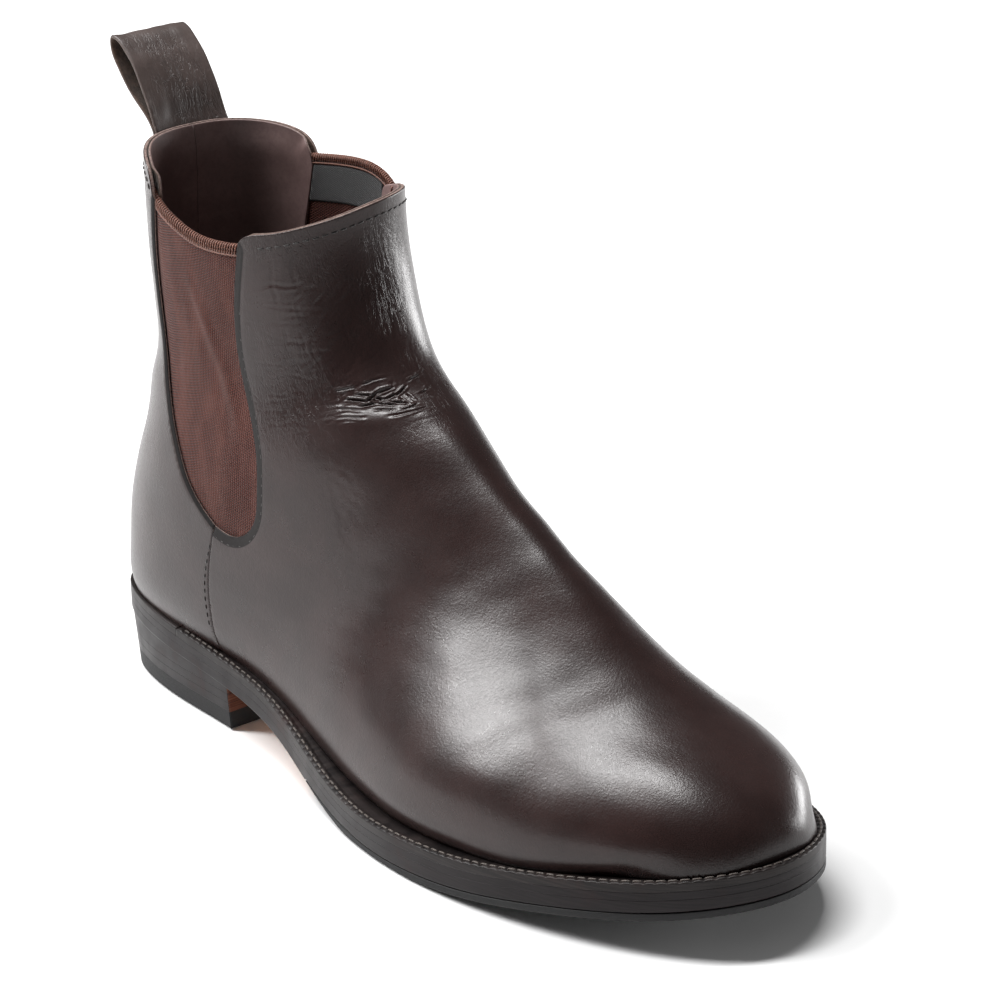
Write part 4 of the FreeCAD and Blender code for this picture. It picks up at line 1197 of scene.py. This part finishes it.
def gore(name, side):
    drops = np.concatenate([np.arange(0, 6, 0.7), np.arange(6, 113, 1.25)])
    xx, drop = np.meshgrid(np.arange(-118.8, -46, RIB / 2), drops)
    zz = gore_top_at(xx, side) - drop
    window = np.vstack([WINDOW_BACK[side], WINDOW_FRONT[side][::-1]])
    ribs = 0.07 * np.cos(xx * 2 * np.pi / RIB)
    places = np.column_stack([xx.ravel(), zz.ravel()])
    clear = distance(places, window) * inside(places, window)
    # the waves fade towards the sewn edges
    free = smooth(drop / 8) * smooth(clear.reshape(xx.shape) / 7)
    depth = GORE_DEPTH - WAVES * gore_wave(xx, zz) * free - ribs
    front = below_form(xx, zz, side, depth)
    back = below_form(xx, zz, side, depth + ELASTIC - 2 * ribs)
    centres = cell_centres(xx, zz)
    keep = inside(centres, window) | (distance(centres, window) < SEWN_MARGIN)
    side_cloth("gore_elastic_" + name, "gore_" + name, side, xx, drop, front, back,
               keep.reshape(xx.shape[0] - 1, -1), "elastic")


# the overlock thread's path round the elastic's edge: depth below the form, drop from the edge
OVERLOCK = [(1.42, 2.3), (1.30, 1.5), (1.27, 0.5), (1.45, -0.25), (2.15, -0.75), (2.85, -0.25), (3.0, 0.6),
            (2.95, 1.7)]
OVERLOCK_PITCH = 1.12


def gore_edge(name, side):
    """Overlock thread whipped over the elastic's top edge."""
    line = GORE_TOPS[side]
    line = line[(line[:, 0] > -116) & (line[:, 0] < -54)]
    run = run_of(line)
    count = int(run[-1] / OVERLOCK_PITCH)
    parts = []
    rng = np.random.default_rng(12 if side < 0 else 13)
    depths, drops = np.array(OVERLOCK).T
    for k in range(count):
        x, top = interp_rows(run[-1] * (k + 0.5) / count, run, line)
        lean = 0.28 + rng.normal(0, 0.06)
        xs = x + lean * (0.8 - drops) * 0.5
        zs = np.minimum(top - drops, gore_top_at(xs, side) + 0.2)
        p = below_form(xs, zs, side, depths)
        p[:, 2] += np.maximum(0.0, -drops)
        parts.append(tube(p, 0.40 + rng.normal(0, 0.02), 5, 0.8))
    # the two chains that run along it
    for depth, drop in ((1.30, 2.5), (3.10, 1.9)):
        xs = np.linspace(-115, -55, 160)
        zs = gore_top_at(xs, side) - drop + 0.12 * np.sin(xs * 2 * np.pi / OVERLOCK_PITCH)
        parts.append(tube(below_form(xs, zs, side, np.full(160, depth)), 0.3, 5))
    thread_piece("gore_overlock_" + name, "gore_edge_" + name, parts, "overlock")


def gore_tape(name, side):
    first, last = 2.6, 14.5
    across = np.arange(-112.0, -55.9, 0.8)
    xx, drop = np.meshgrid(across, np.arange(first, last + 0.2, 0.75))
    zz = gore_top_at(xx, side) - drop
    edge = 0.18 * (np.exp(-(drop - first) / 0.7) + np.exp(-(last - drop) / 0.7))
    weave = 0.05 * np.sin(xx * 2 * np.pi / 1.6) * np.sin(drop * 2 * np.pi / 1.5)
    front = below_form(xx, zz, side, np.full(xx.shape, TAPE_FRONT))
    back = below_form(xx, zz, side, TAPE_BACK - edge + weave)
    behind_line, ahead_line = WINDOW_BACK[side], WINDOW_FRONT[side]
    tall = np.vstack([behind_line, behind_line[-1:] + (0, 15), ahead_line[-1:] + (0, 15), ahead_line[::-1]])
    keep = inside(cell_centres(xx, zz), tall).reshape(xx.shape[0] - 1, -1)
    side_cloth("gore_tape_band_" + name, "gore_tape_" + name, side, xx, drop, front, back, keep,
               "tape")


for name, side in SIDES:
    gore(name, side)
    gore_edge(name, side)
    gore_tape(name, side)

# ---- pull loop ----------------------------------------------------------------------------------


def back_u(z):
    u = np.linspace(0, 4, 400)
    return np.interp(-np.asarray(z, float), -station(u)[:, 3], u)


def back_x(y, z):
    """x of the leg's back at places (y, z)."""
    y, z = np.broadcast_arrays(np.asarray(y, float), np.asarray(z, float))
    out = np.zeros(y.shape)
    for k in np.ndindex(y.shape):
        v = np.linspace(-0.3, 0.3, 61)
        p = surface(np.stack([np.full(61, float(back_u(z[k]))), v], -1))
        out[k] = np.interp(y[k], p[::-1, 1], p[::-1, 0])
    return out


# the strap's sewn part from its lowest to its highest point, its half thickness and its edge radius
ANCHOR_LOW, ANCHOR_HIGH = 154.2, 177.5
STRAP_HALF, STRAP_EDGE = 0.65, 0.5


def pull_loop():
    heights = np.linspace(ANCHOR_LOW, ANCHOR_HIGH, 8)
    inner = np.stack([back_x(LOOP_Y, heights) - 0.8, heights], -1)
    outer = np.stack([back_x(LOOP_Y, heights[::-1]) - 2.25, heights[::-1]], -1)
    line = even(curve(np.vstack([inner, LOOP_PATH, outer]), 900), 190)
    half, edge = LOOP_WIDTH / 2, STRAP_EDGE
    round_off = half - edge * (1 - np.cos(np.linspace(0, np.pi / 2, 5)))
    y = np.concatenate([-round_off, np.linspace(-half + edge, half - edge, 22)[1:-1], round_off[::-1]])
    # the sewn part follows the boot's back, and the loop keeps a little of that curve
    table_z = np.linspace(154, 179, 6)
    bow = back_x(LOOP_Y + y[None, :], table_z[:, None]) - back_x(LOOP_Y, table_z[:, None])
    rise = np.clip(line[:, 1], 154, 179)
    curl = np.stack([np.interp(rise, table_z, bow[:, k]) for k in range(len(y))], -1)
    fade = np.exp(-(np.clip(line[:, 1] - 178, 0, None) / 13.0) ** 2) * 0.94 + 0.06
    ss, yy = np.meshgrid(np.linspace(0, 1, len(line)), y, indexing="ij")
    length = run_of(line)[-1]
    wrinkle = (0.22 * soft_noise(ss * length * 0.35, yy * 1.5, 41, 9)
               + 0.16 * soft_noise(ss * length * 0.9, yy * 0.4, 42, 11))
    wrinkle = wrinkle * smooth((line[:, 1] - 176) / 8)[:, None]
    centre = np.stack([line[:, :1] + curl * fade[:, None], LOOP_Y + yy,
                       np.broadcast_to(line[:, 1:], yy.shape)], -1)
    n = unit(np.cross(np.gradient(centre, axis=0), np.gradient(centre, axis=1)))
    centre = centre + n * wrinkle[..., None]
    reach = np.clip((np.abs(yy) - (half - edge)) / edge, 0, 1)
    thick = STRAP_HALF * np.sqrt(np.clip(1 - reach**2, 0.0, 1)) + 0.02
    thick = thick * (smooth(np.minimum(ss, 1 - ss) * length / 2.0) * 0.6 + 0.4)
    front, back = centre + n * thick[..., None], centre - n * thick[..., None]
    grain_first = n[len(n) // 8, len(y) // 2][0] > 0
    along = np.stack([yy.ravel(), (ss * length).ravel(), np.zeros(yy.size)], -1)
    piece = two_skins("pull_loop_strap", back, front, along,
                      [MATS["strap"], MATS["strap_back"], MATS["raw"]],
                      index=(1, 0, 2) if grain_first else (0, 1, 2), body=None)
    fix_normals(piece)
    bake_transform(piece)
    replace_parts(piece, "pull_loop", "pull_loop_anchor")


pull_loop()

# ---- sole and heel ------------------------------------------------------------------------------

WELT = 3.0
MIDSOLE = 2.5
TREAD_START, TREAD_FULL, TREAD_LIP, TREAD = -14.0, 18.0, 0.8, 2.5
TOP_PIECE, LIFT = 6.0, 3.2
PLAN = closed_curve([SOLE_BACK] + [(x, y) for x, y, _ in SOLE_PLAN] + [SOLE_TOE]
                    + [(x, y) for x, _, y in reversed(SOLE_PLAN)], 700)


def outward(outline):
    """Outward directions of a closed plan outline, widened at corners."""
    edge = np.roll(outline, -1, axis=0) - outline
    edge /= np.linalg.norm(edge, axis=1, keepdims=True) + 1e-12
    n = np.stack([edge[:, 1], -edge[:, 0]], -1)
    both = unit(n + np.roll(n, 1, axis=0))
    return both / np.clip((both * n).sum(1), 0.6, 1)[:, None]


def inward_of(line):
    """Directions to the left of an open plan line."""
    t = unit(np.gradient(line, axis=0))
    return np.stack([-t[:, 1], t[:, 0]], -1)


def plan_part(plan, kept, x_cut):
    keep = np.flatnonzero(kept)
    line = plan[keep[0]:keep[-1] + 1].copy()
    line[0, 0] = line[-1, 0] = x_cut
    return line


def ahead_of(x_cut):
    """The plan's line from the outer side at x_cut round the toe to the inner side."""
    return plan_part(PLAN, PLAN[:, 0] > x_cut, x_cut)


def behind(x_cut):
    """The plan's line from the inner side at x_cut round the heel to the outer side."""
    turned = np.roll(PLAN, len(PLAN) // 2, axis=0)
    return plan_part(turned, turned[:, 0] < x_cut, x_cut)


def closed_by_line(line, count):
    return np.vstack([line, np.linspace(line[-1], line[0], count)[1:-1]])


def cap(outline, spacing):
    """Plan points and triangles that fill an outline, counterclockwise from above."""
    lo, hi = outline.min(0), outline.max(0)
    xs = np.arange(lo[0], hi[0], spacing)
    gx, gy = np.meshgrid(xs, np.arange(lo[1], hi[1], spacing), indexing="ij")
    gy = gy + (np.arange(len(xs)) % 2 * 0.5 * spacing)[:, None]
    body = np.stack([gx.ravel(), gy.ravel()], -1)
    body = body[inside(body, outline)]
    points = np.concatenate([outline, body[distance(body, outline) > 0.6 * spacing]])
    _, faces, source = triangulated(points, len(outline), 1e-6)
    return points, filling(np.maximum(source, 0)[faces], points, outline, 1e-9)


def over(height, shift):
    return lambda x: height(x) + shift


def edge_rows(bottom, top, low_edge, high_edge, material, floor=None):
    """An edge profile from (inset, rise) pairs over the bottom and over the top."""
    rows = [(inset, over(bottom, rise), material) for inset, rise in low_edge]
    rows += [(inset, over(top, rise), material) for inset, rise in high_edge]
    if floor is not None:
        rows[0] = rows[0][:2] + (floor,)
    return rows


def plate(name, node, outline, rows, mats, spacing=6.0, limit=None, dome=None):
    """A layer with an edge profile. rows are (inset, height(x), material) from the bottom up; the first
    and last rows are filled by the bottom and the top. limit moves points in the plan."""
    out = outward(outline)
    rings = []
    for inset, height, _ in rows:
        xy = outline - out * inset
        if limit:
            xy = limit(xy, height(xy[:, 0]), inset)
        rings.append(np.column_stack([xy, height(xy[:, 0])]))
    count = len(outline)
    side_points, side_faces = strip(np.stack(rings), True)
    faces = side_faces.tolist()
    index = [rows[k // count][2] for k in range(len(side_faces))]
    parts, total = [side_points], len(side_points)
    for row, bottom in ((0, True), (len(rows) - 1, False)):
        points, fill = cap(rings[row][:, :2], spacing)
        extra = points[count:]
        z = rows[row][1](extra[:, 0])
        if dome is not None and not bottom:
            z = z + dome(extra, rings[row][:, :2])
        parts.append(np.column_stack([extra, z]))
        fill = np.where(fill < count, fill + row * count, fill - count + total)
        faces += (fill[:, ::-1] if bottom else fill).tolist()
        index += [rows[row][2]] * len(fill)
        total += len(extra)
    piece = make(name, np.concatenate(parts), faces, mats, index)
    fix_normals(piece)
    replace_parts(piece, node)
    return piece


def tread_roof(x):
    rise = np.interp(x, [TREAD_START, TREAD_FULL], [TREAD_LIP, TREAD])
    return ground(x) + rise


def outsole_bottom(x):
    return np.where(x < TREAD_START, ground(x), tread_roof(x))


PLAN_LINE = even(np.vstack([PLAN, PLAN[:1]]), 521)[:-1]


# the welt's section: inset from its edge, rise from its top, share of a stitch's notch
WELT_SECTION = np.array([
    (0.04, -2.98, 0), (0.0, -2.94, 0), (0.0, -2.8, 0), (0.0, -0.75, 0.05), (0.0, -0.55, 0.15),
    (0.12, -0.22, 0.5), (0.45, -0.05, 0.9), (0.8, 0.0, 1), (1.2, 0.0, 1), (1.7, 0.0, 1), (2.1, 0.0, 1),
    (2.5, -0.1, 0.8), (2.9, -0.42, 0.4), (3.5, -0.5, 0.1), (5, -0.5, 0), (9.3, -0.4, 0), (9.45, -1.5, 0),
    (9.45, -2.96, 0), (5, -2.96, 0),
])
WELT_PITCH, WELT_NOTCH = 3.4, 0.34


def welt_ring(name, line, node, ridged):
    """A strip of welt leather with a pressed, ridged seam near its outer edge."""
    line = even(line, int(run_of(line)[-1] / 0.42))
    inward = inward_of(line)
    wave = 0.5 + 0.5 * np.cos(run_of(line) * 2 * np.pi / WELT_PITCH)
    notch = WELT_NOTCH * wave**3 if ridged else np.zeros(len(line))
    rows = []
    for inset, rise, share in WELT_SECTION:
        xy = line + inward * inset
        rows.append(np.column_stack([xy, level(xy[:, 0]) + rise - notch * share]))
    points, faces = strip(np.stack(rows, axis=1), True)
    m = len(rows)
    faces = faces.tolist() + [list(range(m))[::-1], list(range((len(line) - 1) * m, len(line) * m))]
    piece = make(name, points, faces, [MATS["welt"]])
    fix_normals(piece)
    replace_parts(piece, node)


welt_ring("welt_strip", ahead_of(WELT_END + 0.1), "welt", True)
welt_ring("heel_rand_strip", behind(WELT_END - 0.1), "heel_rand", False)

EDGE_MATS = [MATS["edge"], MATS["tan"], MATS["rubber"]]
MIDSOLE_TOP = over(level, -WELT)
MIDSOLE_BOTTOM = over(level, -WELT - MIDSOLE)
SHARP_LOW, SHARP_HIGH = [(0.04, 0), (0.0, 0.06), (0.0, 0.16)], [(0.0, -0.16), (0.0, -0.06), (0.04, 0)]
ROUND_LOW = [(1.3, 0), (0.5, 0.10), (0.08, 0.35), (0.0, 0.7), (0.0, 0.9)]
plate("midsole_layer", "midsole", PLAN_LINE, edge_rows(MIDSOLE_BOTTOM, MIDSOLE_TOP, SHARP_LOW, SHARP_HIGH, 0),
      EDGE_MATS)
plate("outsole_layer", "outsole", PLAN_LINE,
      edge_rows(outsole_bottom, MIDSOLE_BOTTOM, ROUND_LOW, SHARP_HIGH, 0, 1), EDGE_MATS, 4.0)


def clip_ahead(xy, z, inset):
    return np.column_stack([np.maximum(xy[:, 0], TREAD_START + inset * 0.5), xy[:, 1]])


def tread_floor(x):
    return np.maximum(ground(x), 0.0)


tread_line = closed_by_line(even(ahead_of(TREAD_START), 420), 60)
plate("tread_half_sole", "forepart_tread", tread_line,
      edge_rows(tread_floor, tread_roof, [(1.1, 0), (0.35, 0.12), (0.03, 0.45), (0.0, 0.6)],
                [(0.0, -0.32), (0.02, -0.2), (0.16, -0.04)], 2), EDGE_MATS, 4.0, clip_ahead)


def heel_limit(xy, z, inset):
    scale = HEEL_TAPER + (1 - HEEL_TAPER) * np.clip(z, 0, 24)[:, None] / 24
    xy = np.array((HEEL_CENTRE, 0.0)) + (xy - (HEEL_CENTRE, 0.0)) * scale
    hollow = 1.1 * np.clip(1 - (xy[:, 1] / 33) ** 2, 0, 1)
    front = HEEL_BREAST - inset - hollow
    return np.column_stack([np.minimum(xy[:, 0], front), xy[:, 1]])


heel_line = closed_by_line(even(behind(-66.0), 300), 70)
HEEL_MATS = [MATS["edge"], MATS["breast"], MATS["rubber"]]


def flat_at(z):
    return lambda x: np.full(np.shape(x), z)


def heel_layer(name, node, bottom, ceiling, slot_name, material, soft):
    low_edge = [(soft * 2.2, 0), (soft * 0.7, soft * 0.35), (0.0, soft * 1.2), (0.0, soft * 1.2 + 0.12)]
    made = plate(name, node, heel_line,
                 edge_rows(bottom, ceiling, low_edge, [(0.0, -0.18), (0.0, -0.06), (0.04, 0)], material),
                 HEEL_MATS, 6.0, heel_limit)
    if material == 0:
        # the breast is bare leather
        breast = [int(p.normal.x > 0.8 and abs(p.normal.z) < 0.5) for p in made.data.polygons]
        made.data.polygons.foreach_set("material_index", np.array(breast, np.int32))


HEEL_LEVELS = [flat_at(z) for z in (0.0, TOP_PIECE, TOP_PIECE + LIFT, TOP_PIECE + 2 * LIFT)] + [ground]
HEEL_PIECES = [("heel_top_piece_rubber", "heel_top_piece"), ("heel_lift_low", "heel_lift_1"),
               ("heel_lift_high", "heel_lift_2"), ("heel_wedge_block", "heel_wedge")]
for k, (name, node) in enumerate(HEEL_PIECES):
    rest = ("edge_leather", 0, 0.05) if k else ("rubber", 2, 0.35)
    heel_layer(name, node, HEEL_LEVELS[k], HEEL_LEVELS[k + 1], *rest)

# ---- inside the boot ----------------------------------------------------------------------------


def inner_outline(raise_by, depth, count):
    outer, inner = waterline(raise_by, -1), waterline(raise_by, 1)
    both = np.vstack([outer, inner[::-1][1:-1]])
    p = surface(both) - normals(both) * depth
    return even(np.vstack([p[:, :2], p[:1, :2]]), count + 1)[:-1]


# how high above the welt the sock liner and the heel pad meet the lining, and how far inside the form
SOCK_RAISE, SOCK_DEPTH = 3.3, 3.75
PAD_RAISE, PAD_DEPTH = 4.6, 3.9
plate("sock_liner_sheet", "sock_liner", inner_outline(SOCK_RAISE, SOCK_DEPTH, 300),
      edge_rows(level, level, [(0.3, 2.52), (0.0, 2.9), (0.35, 3.42)], [], 0),
      [MATS["sock"]], 4.0)


def pad_limit(xy, z, inset):
    edge = -77.5 - 0.012 * xy[:, 1] ** 2 - inset
    return np.column_stack([np.minimum(xy[:, 0], edge), xy[:, 1]])


def crown(points, outline):
    return 0.9 * smooth(distance(points, outline) / 14)


pad_line = np.roll(inner_outline(PAD_RAISE, PAD_DEPTH, 500), 250, axis=0)
pad_line = closed_by_line(pad_line[pad_line[:, 0] < -70], 40)
pad = plate("heel_pad_foam", "heel_pad", pad_line,
            edge_rows(level, level, [(0.8, 3.55), (0.1, 3.9), (0.5, 4.4), (1.9, 4.75)], [], 0),
            [MATS["sock"]], 2.6, pad_limit, crown)

# ---- stitching ----------------------------------------------------------------------------------


# gap between stitches; how far the rows lie from the front and back top lines and the windows' edges
STITCH_GAP = 1.0
FRONT_COLLAR_INSET, BACK_COLLAR_INSET = 4.2, 4.6
FRONT_WINDOW_INSET, BACK_WINDOW_INSET = 2.9, 2.6


def sideways(pairs, amount, sign):
    """A side-view line moved sideways by an amount."""
    line = np.array(pairs, float)
    t = np.zeros_like(line)
    t[1:-1] = line[2:] - line[:-2]
    t[0], t[-1] = line[1] - line[0], line[-1] - line[-2]
    t = unit(t)
    return line + sign * amount * np.stack([-t[:, 1], t[:, 0]], -1)


def lowered(uv, drop):
    stretch_u = np.linalg.norm(surface(uv + (0.05, 0)) - surface(uv - (0.05, 0)), axis=1) / 0.1
    return uv + np.stack([drop / stretch_u, np.zeros(len(uv))], -1)


def row_on_leather(tracks, name, node, sink=0.0, pitch=3.0, radius=0.27):
    parts = []
    for uv in tracks:
        points, ups = on_leather(resample(uv, 0.8), -sink)
        parts += stitch_parts(points, ups, pitch, pitch - STITCH_GAP, radius, sink=0.3, rise=0.16)
    thread_piece(name, node, parts)


row_on_leather([lowered(front_collar_line(), FRONT_COLLAR_INSET)[40:-40]], "stitching_front_collar",
               "stitches_front_collar")
row_on_leather([lowered(back_collar_line(s), BACK_COLLAR_INSET)[30:] for s in BOTH],
               "stitching_back_collar", "stitches_back_collar")
for name, side in SIDES:
    near_front = curve(sideways(GORE_FRONT[side], FRONT_WINDOW_INSET, -1)[:-1], 260)
    near_back = curve(sideways(GORE_BACK[side], BACK_WINDOW_INSET, 1)[1:-1], 260)
    row_on_leather([place(near_front, side), place(near_back, side)], "stitching_gore_" + name,
                   "stitches_gore_" + name, 0.42)
seam_side = [(x - 2.0, z + rise) for (x, z), rise in zip(SEAM[1:], (4, 0, -6))]
row_on_leather([place(curve(seam_side, 160), s) for s in BOTH], "stitching_side_seams", "stitches_side_seams",
               0.03, 2.6, 0.22)


def welt_stitching():
    line = even(ahead_of(WELT_END + 3), 900)
    xy = line + inward_of(line) * 1.5
    z = level(xy[:, 0]) - 0.02
    slope = (level(xy[:, 0] + 1) - level(xy[:, 0] - 1)) / 2
    ups = np.column_stack([-slope, np.zeros(len(slope)), np.ones(len(slope))])
    parts = stitch_parts(np.column_stack([xy, z]), ups, WELT_PITCH, length=2.5, radius=0.36, sink=0.5,
                         rise=0.06)
    thread_piece("stitching_welt", "welt_stitches", parts, "welt_stitch")


def loop_stitching():
    """A row along each edge of the strap's sewn part."""
    low, high = LOOP_Y - LOOP_WIDTH / 2 + 3, LOOP_Y + LOOP_WIDTH / 2 - 3
    lines = [[(y, z) for y in np.linspace(low, high, 14)] for z in (157.0, 175.3)]
    lines += [[(y, z) for z in np.linspace(159, 173.3, 9)] for y in (low, high)]
    parts = []
    for line in lines:
        y, z = np.array(line).T
        points = np.column_stack([back_x(y, z) - 2.92, y, z])
        turn = (back_x(y + 1, z) - back_x(y - 1, z)) / 2
        ups = unit(np.column_stack([-np.ones(len(turn)), turn, np.zeros(len(turn))]))
        parts += stitch_parts(points, ups, pitch=3.0, length=2.1, radius=0.26, sink=0.3, rise=0.14)
    thread_piece("stitching_pull_loop", "stitches_pull_loop", parts)


welt_stitching()
loop_stitching()

# ---- CAD nodes that stay: the layers inside the build --------------------------------------------

KEPT = {
    "toe_puff": "puff", "heel_counter": "puff", "vamp_interlining": "cloth", "quarter_backer": "cloth",
    "insole": "board", "insole_rib": "cloth", "shank": "steel", "cork_filler": "cork", "heel_nails": "steel",
    "top_piece_nails": "brass",
}
for node, key in KEPT.items():
    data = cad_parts[node].data
    data.materials.clear()
    data.materials.append(MATS[key])

# ---- floor, lights and camera -------------------------------------------------------------------


FLOOR_HALF, FLOOR_DROP = 4.0, 0.0003
LIGHT_AIM = Vector((0.0, 0.0, 0.08))
# name, direction, distance, size, power, the direction that its height runs along
LIGHTS = [
    ("key_softbox", (-0.586, -0.488, 0.651), 3.4, (0.86, 2.0), 130, (0.587, 0.378, 0.716)),
    ("overhead_softbox", (-0.225, -0.052, 0.973), 3.4, (0.52, 2.2), 125, (0.346, 0.929, 0.134)),
    ("side_fill", (-0.25, -0.96, 0.12), 2.6, (2.0, 1.0), 1.5, (0, 0, 1)),
    ("rim_panel", (0.1, 0.99, 0.03), 2.0, (1.4, 0.5), 30, (0, 0, 1)),
]
WORLD_STRENGTH = 0.105
# the camera: azimuth from the outer side, elevation, roll, what it looks at, metres away, lens
AZIMUTH, ELEVATION, ROLL = 52.73, 20.80, -1.35
LOOK_AT, CAMERA_AWAY, LENS = (48.53, -13.08, 107.77), 1.13387, 141.77


def linked(name, data):
    obj = bpy.data.objects.new(name, data)
    bpy.context.scene.collection.objects.link(obj)
    return obj


def add_floor():
    xs = np.linspace(-FLOOR_HALF, FLOOR_HALF, 24)
    grid = np.stack(np.meshgrid(xs, xs, indexing="ij"), -1)
    points, faces = strip(np.concatenate([grid, np.zeros(grid.shape[:2] + (1,))], -1))
    mesh = bpy.data.meshes.new("studio_floor")
    mesh.from_pydata(points.tolist(), [], faces[:, ::-1].tolist())
    mesh.materials.append(floor_paper("floor_paper"))
    obj = linked("studio_floor", mesh)
    obj.location.z = -FLOOR_DROP
    fix_normals(obj)


def add_light(name, direction, away, size, power, along):
    """A soft rectangular lamp facing the boot."""
    light = bpy.data.lights.new(name, "AREA")
    light.shape = "RECTANGLE"
    light.size, light.size_y = size
    light.energy = power
    obj = linked(name, light)
    way = Vector(direction).normalized()
    obj.location = LIGHT_AIM + way * away
    across = Vector(along).cross(way).normalized()
    obj.rotation_euler = Matrix((across, way.cross(across), way)).transposed().to_euler()


def add_camera():
    turn, rise, roll = math.radians(AZIMUTH), math.radians(ELEVATION), math.radians(ROLL)
    back = Vector((math.sin(turn) * math.cos(rise), -math.cos(turn) * math.cos(rise), math.sin(rise)))
    level_right = Vector((math.cos(turn), math.sin(turn), 0))
    level_up = back.cross(level_right)
    right = level_right * math.cos(roll) + level_up * math.sin(roll)
    up = level_up * math.cos(roll) - level_right * math.sin(roll)
    data = bpy.data.cameras.new("camera")
    data.lens = LENS
    data.sensor_width = 36.0
    data.clip_start, data.clip_end = 0.05, 50
    camera = linked("camera", data)
    rotation = Matrix((right, up, back)).transposed().to_4x4()
    camera.matrix_world = Matrix.Translation(Vector(to_frame(LOOK_AT)) + back * CAMERA_AWAY) @ rotation
    bpy.context.scene.camera = camera


def add_world():
    world = bpy.data.worlds.new("studio")
    world.use_nodes = True
    background = world.node_tree.nodes["Background"].inputs
    background["Color"].default_value = (1, 1, 1, 1)
    background["Strength"].default_value = WORLD_STRENGTH
    bpy.context.scene.world = world
    bpy.context.scene.view_settings.view_transform = "Standard"


add_floor()
for lamp in LIGHTS:
    add_light(*lamp)
add_world()
add_camera()
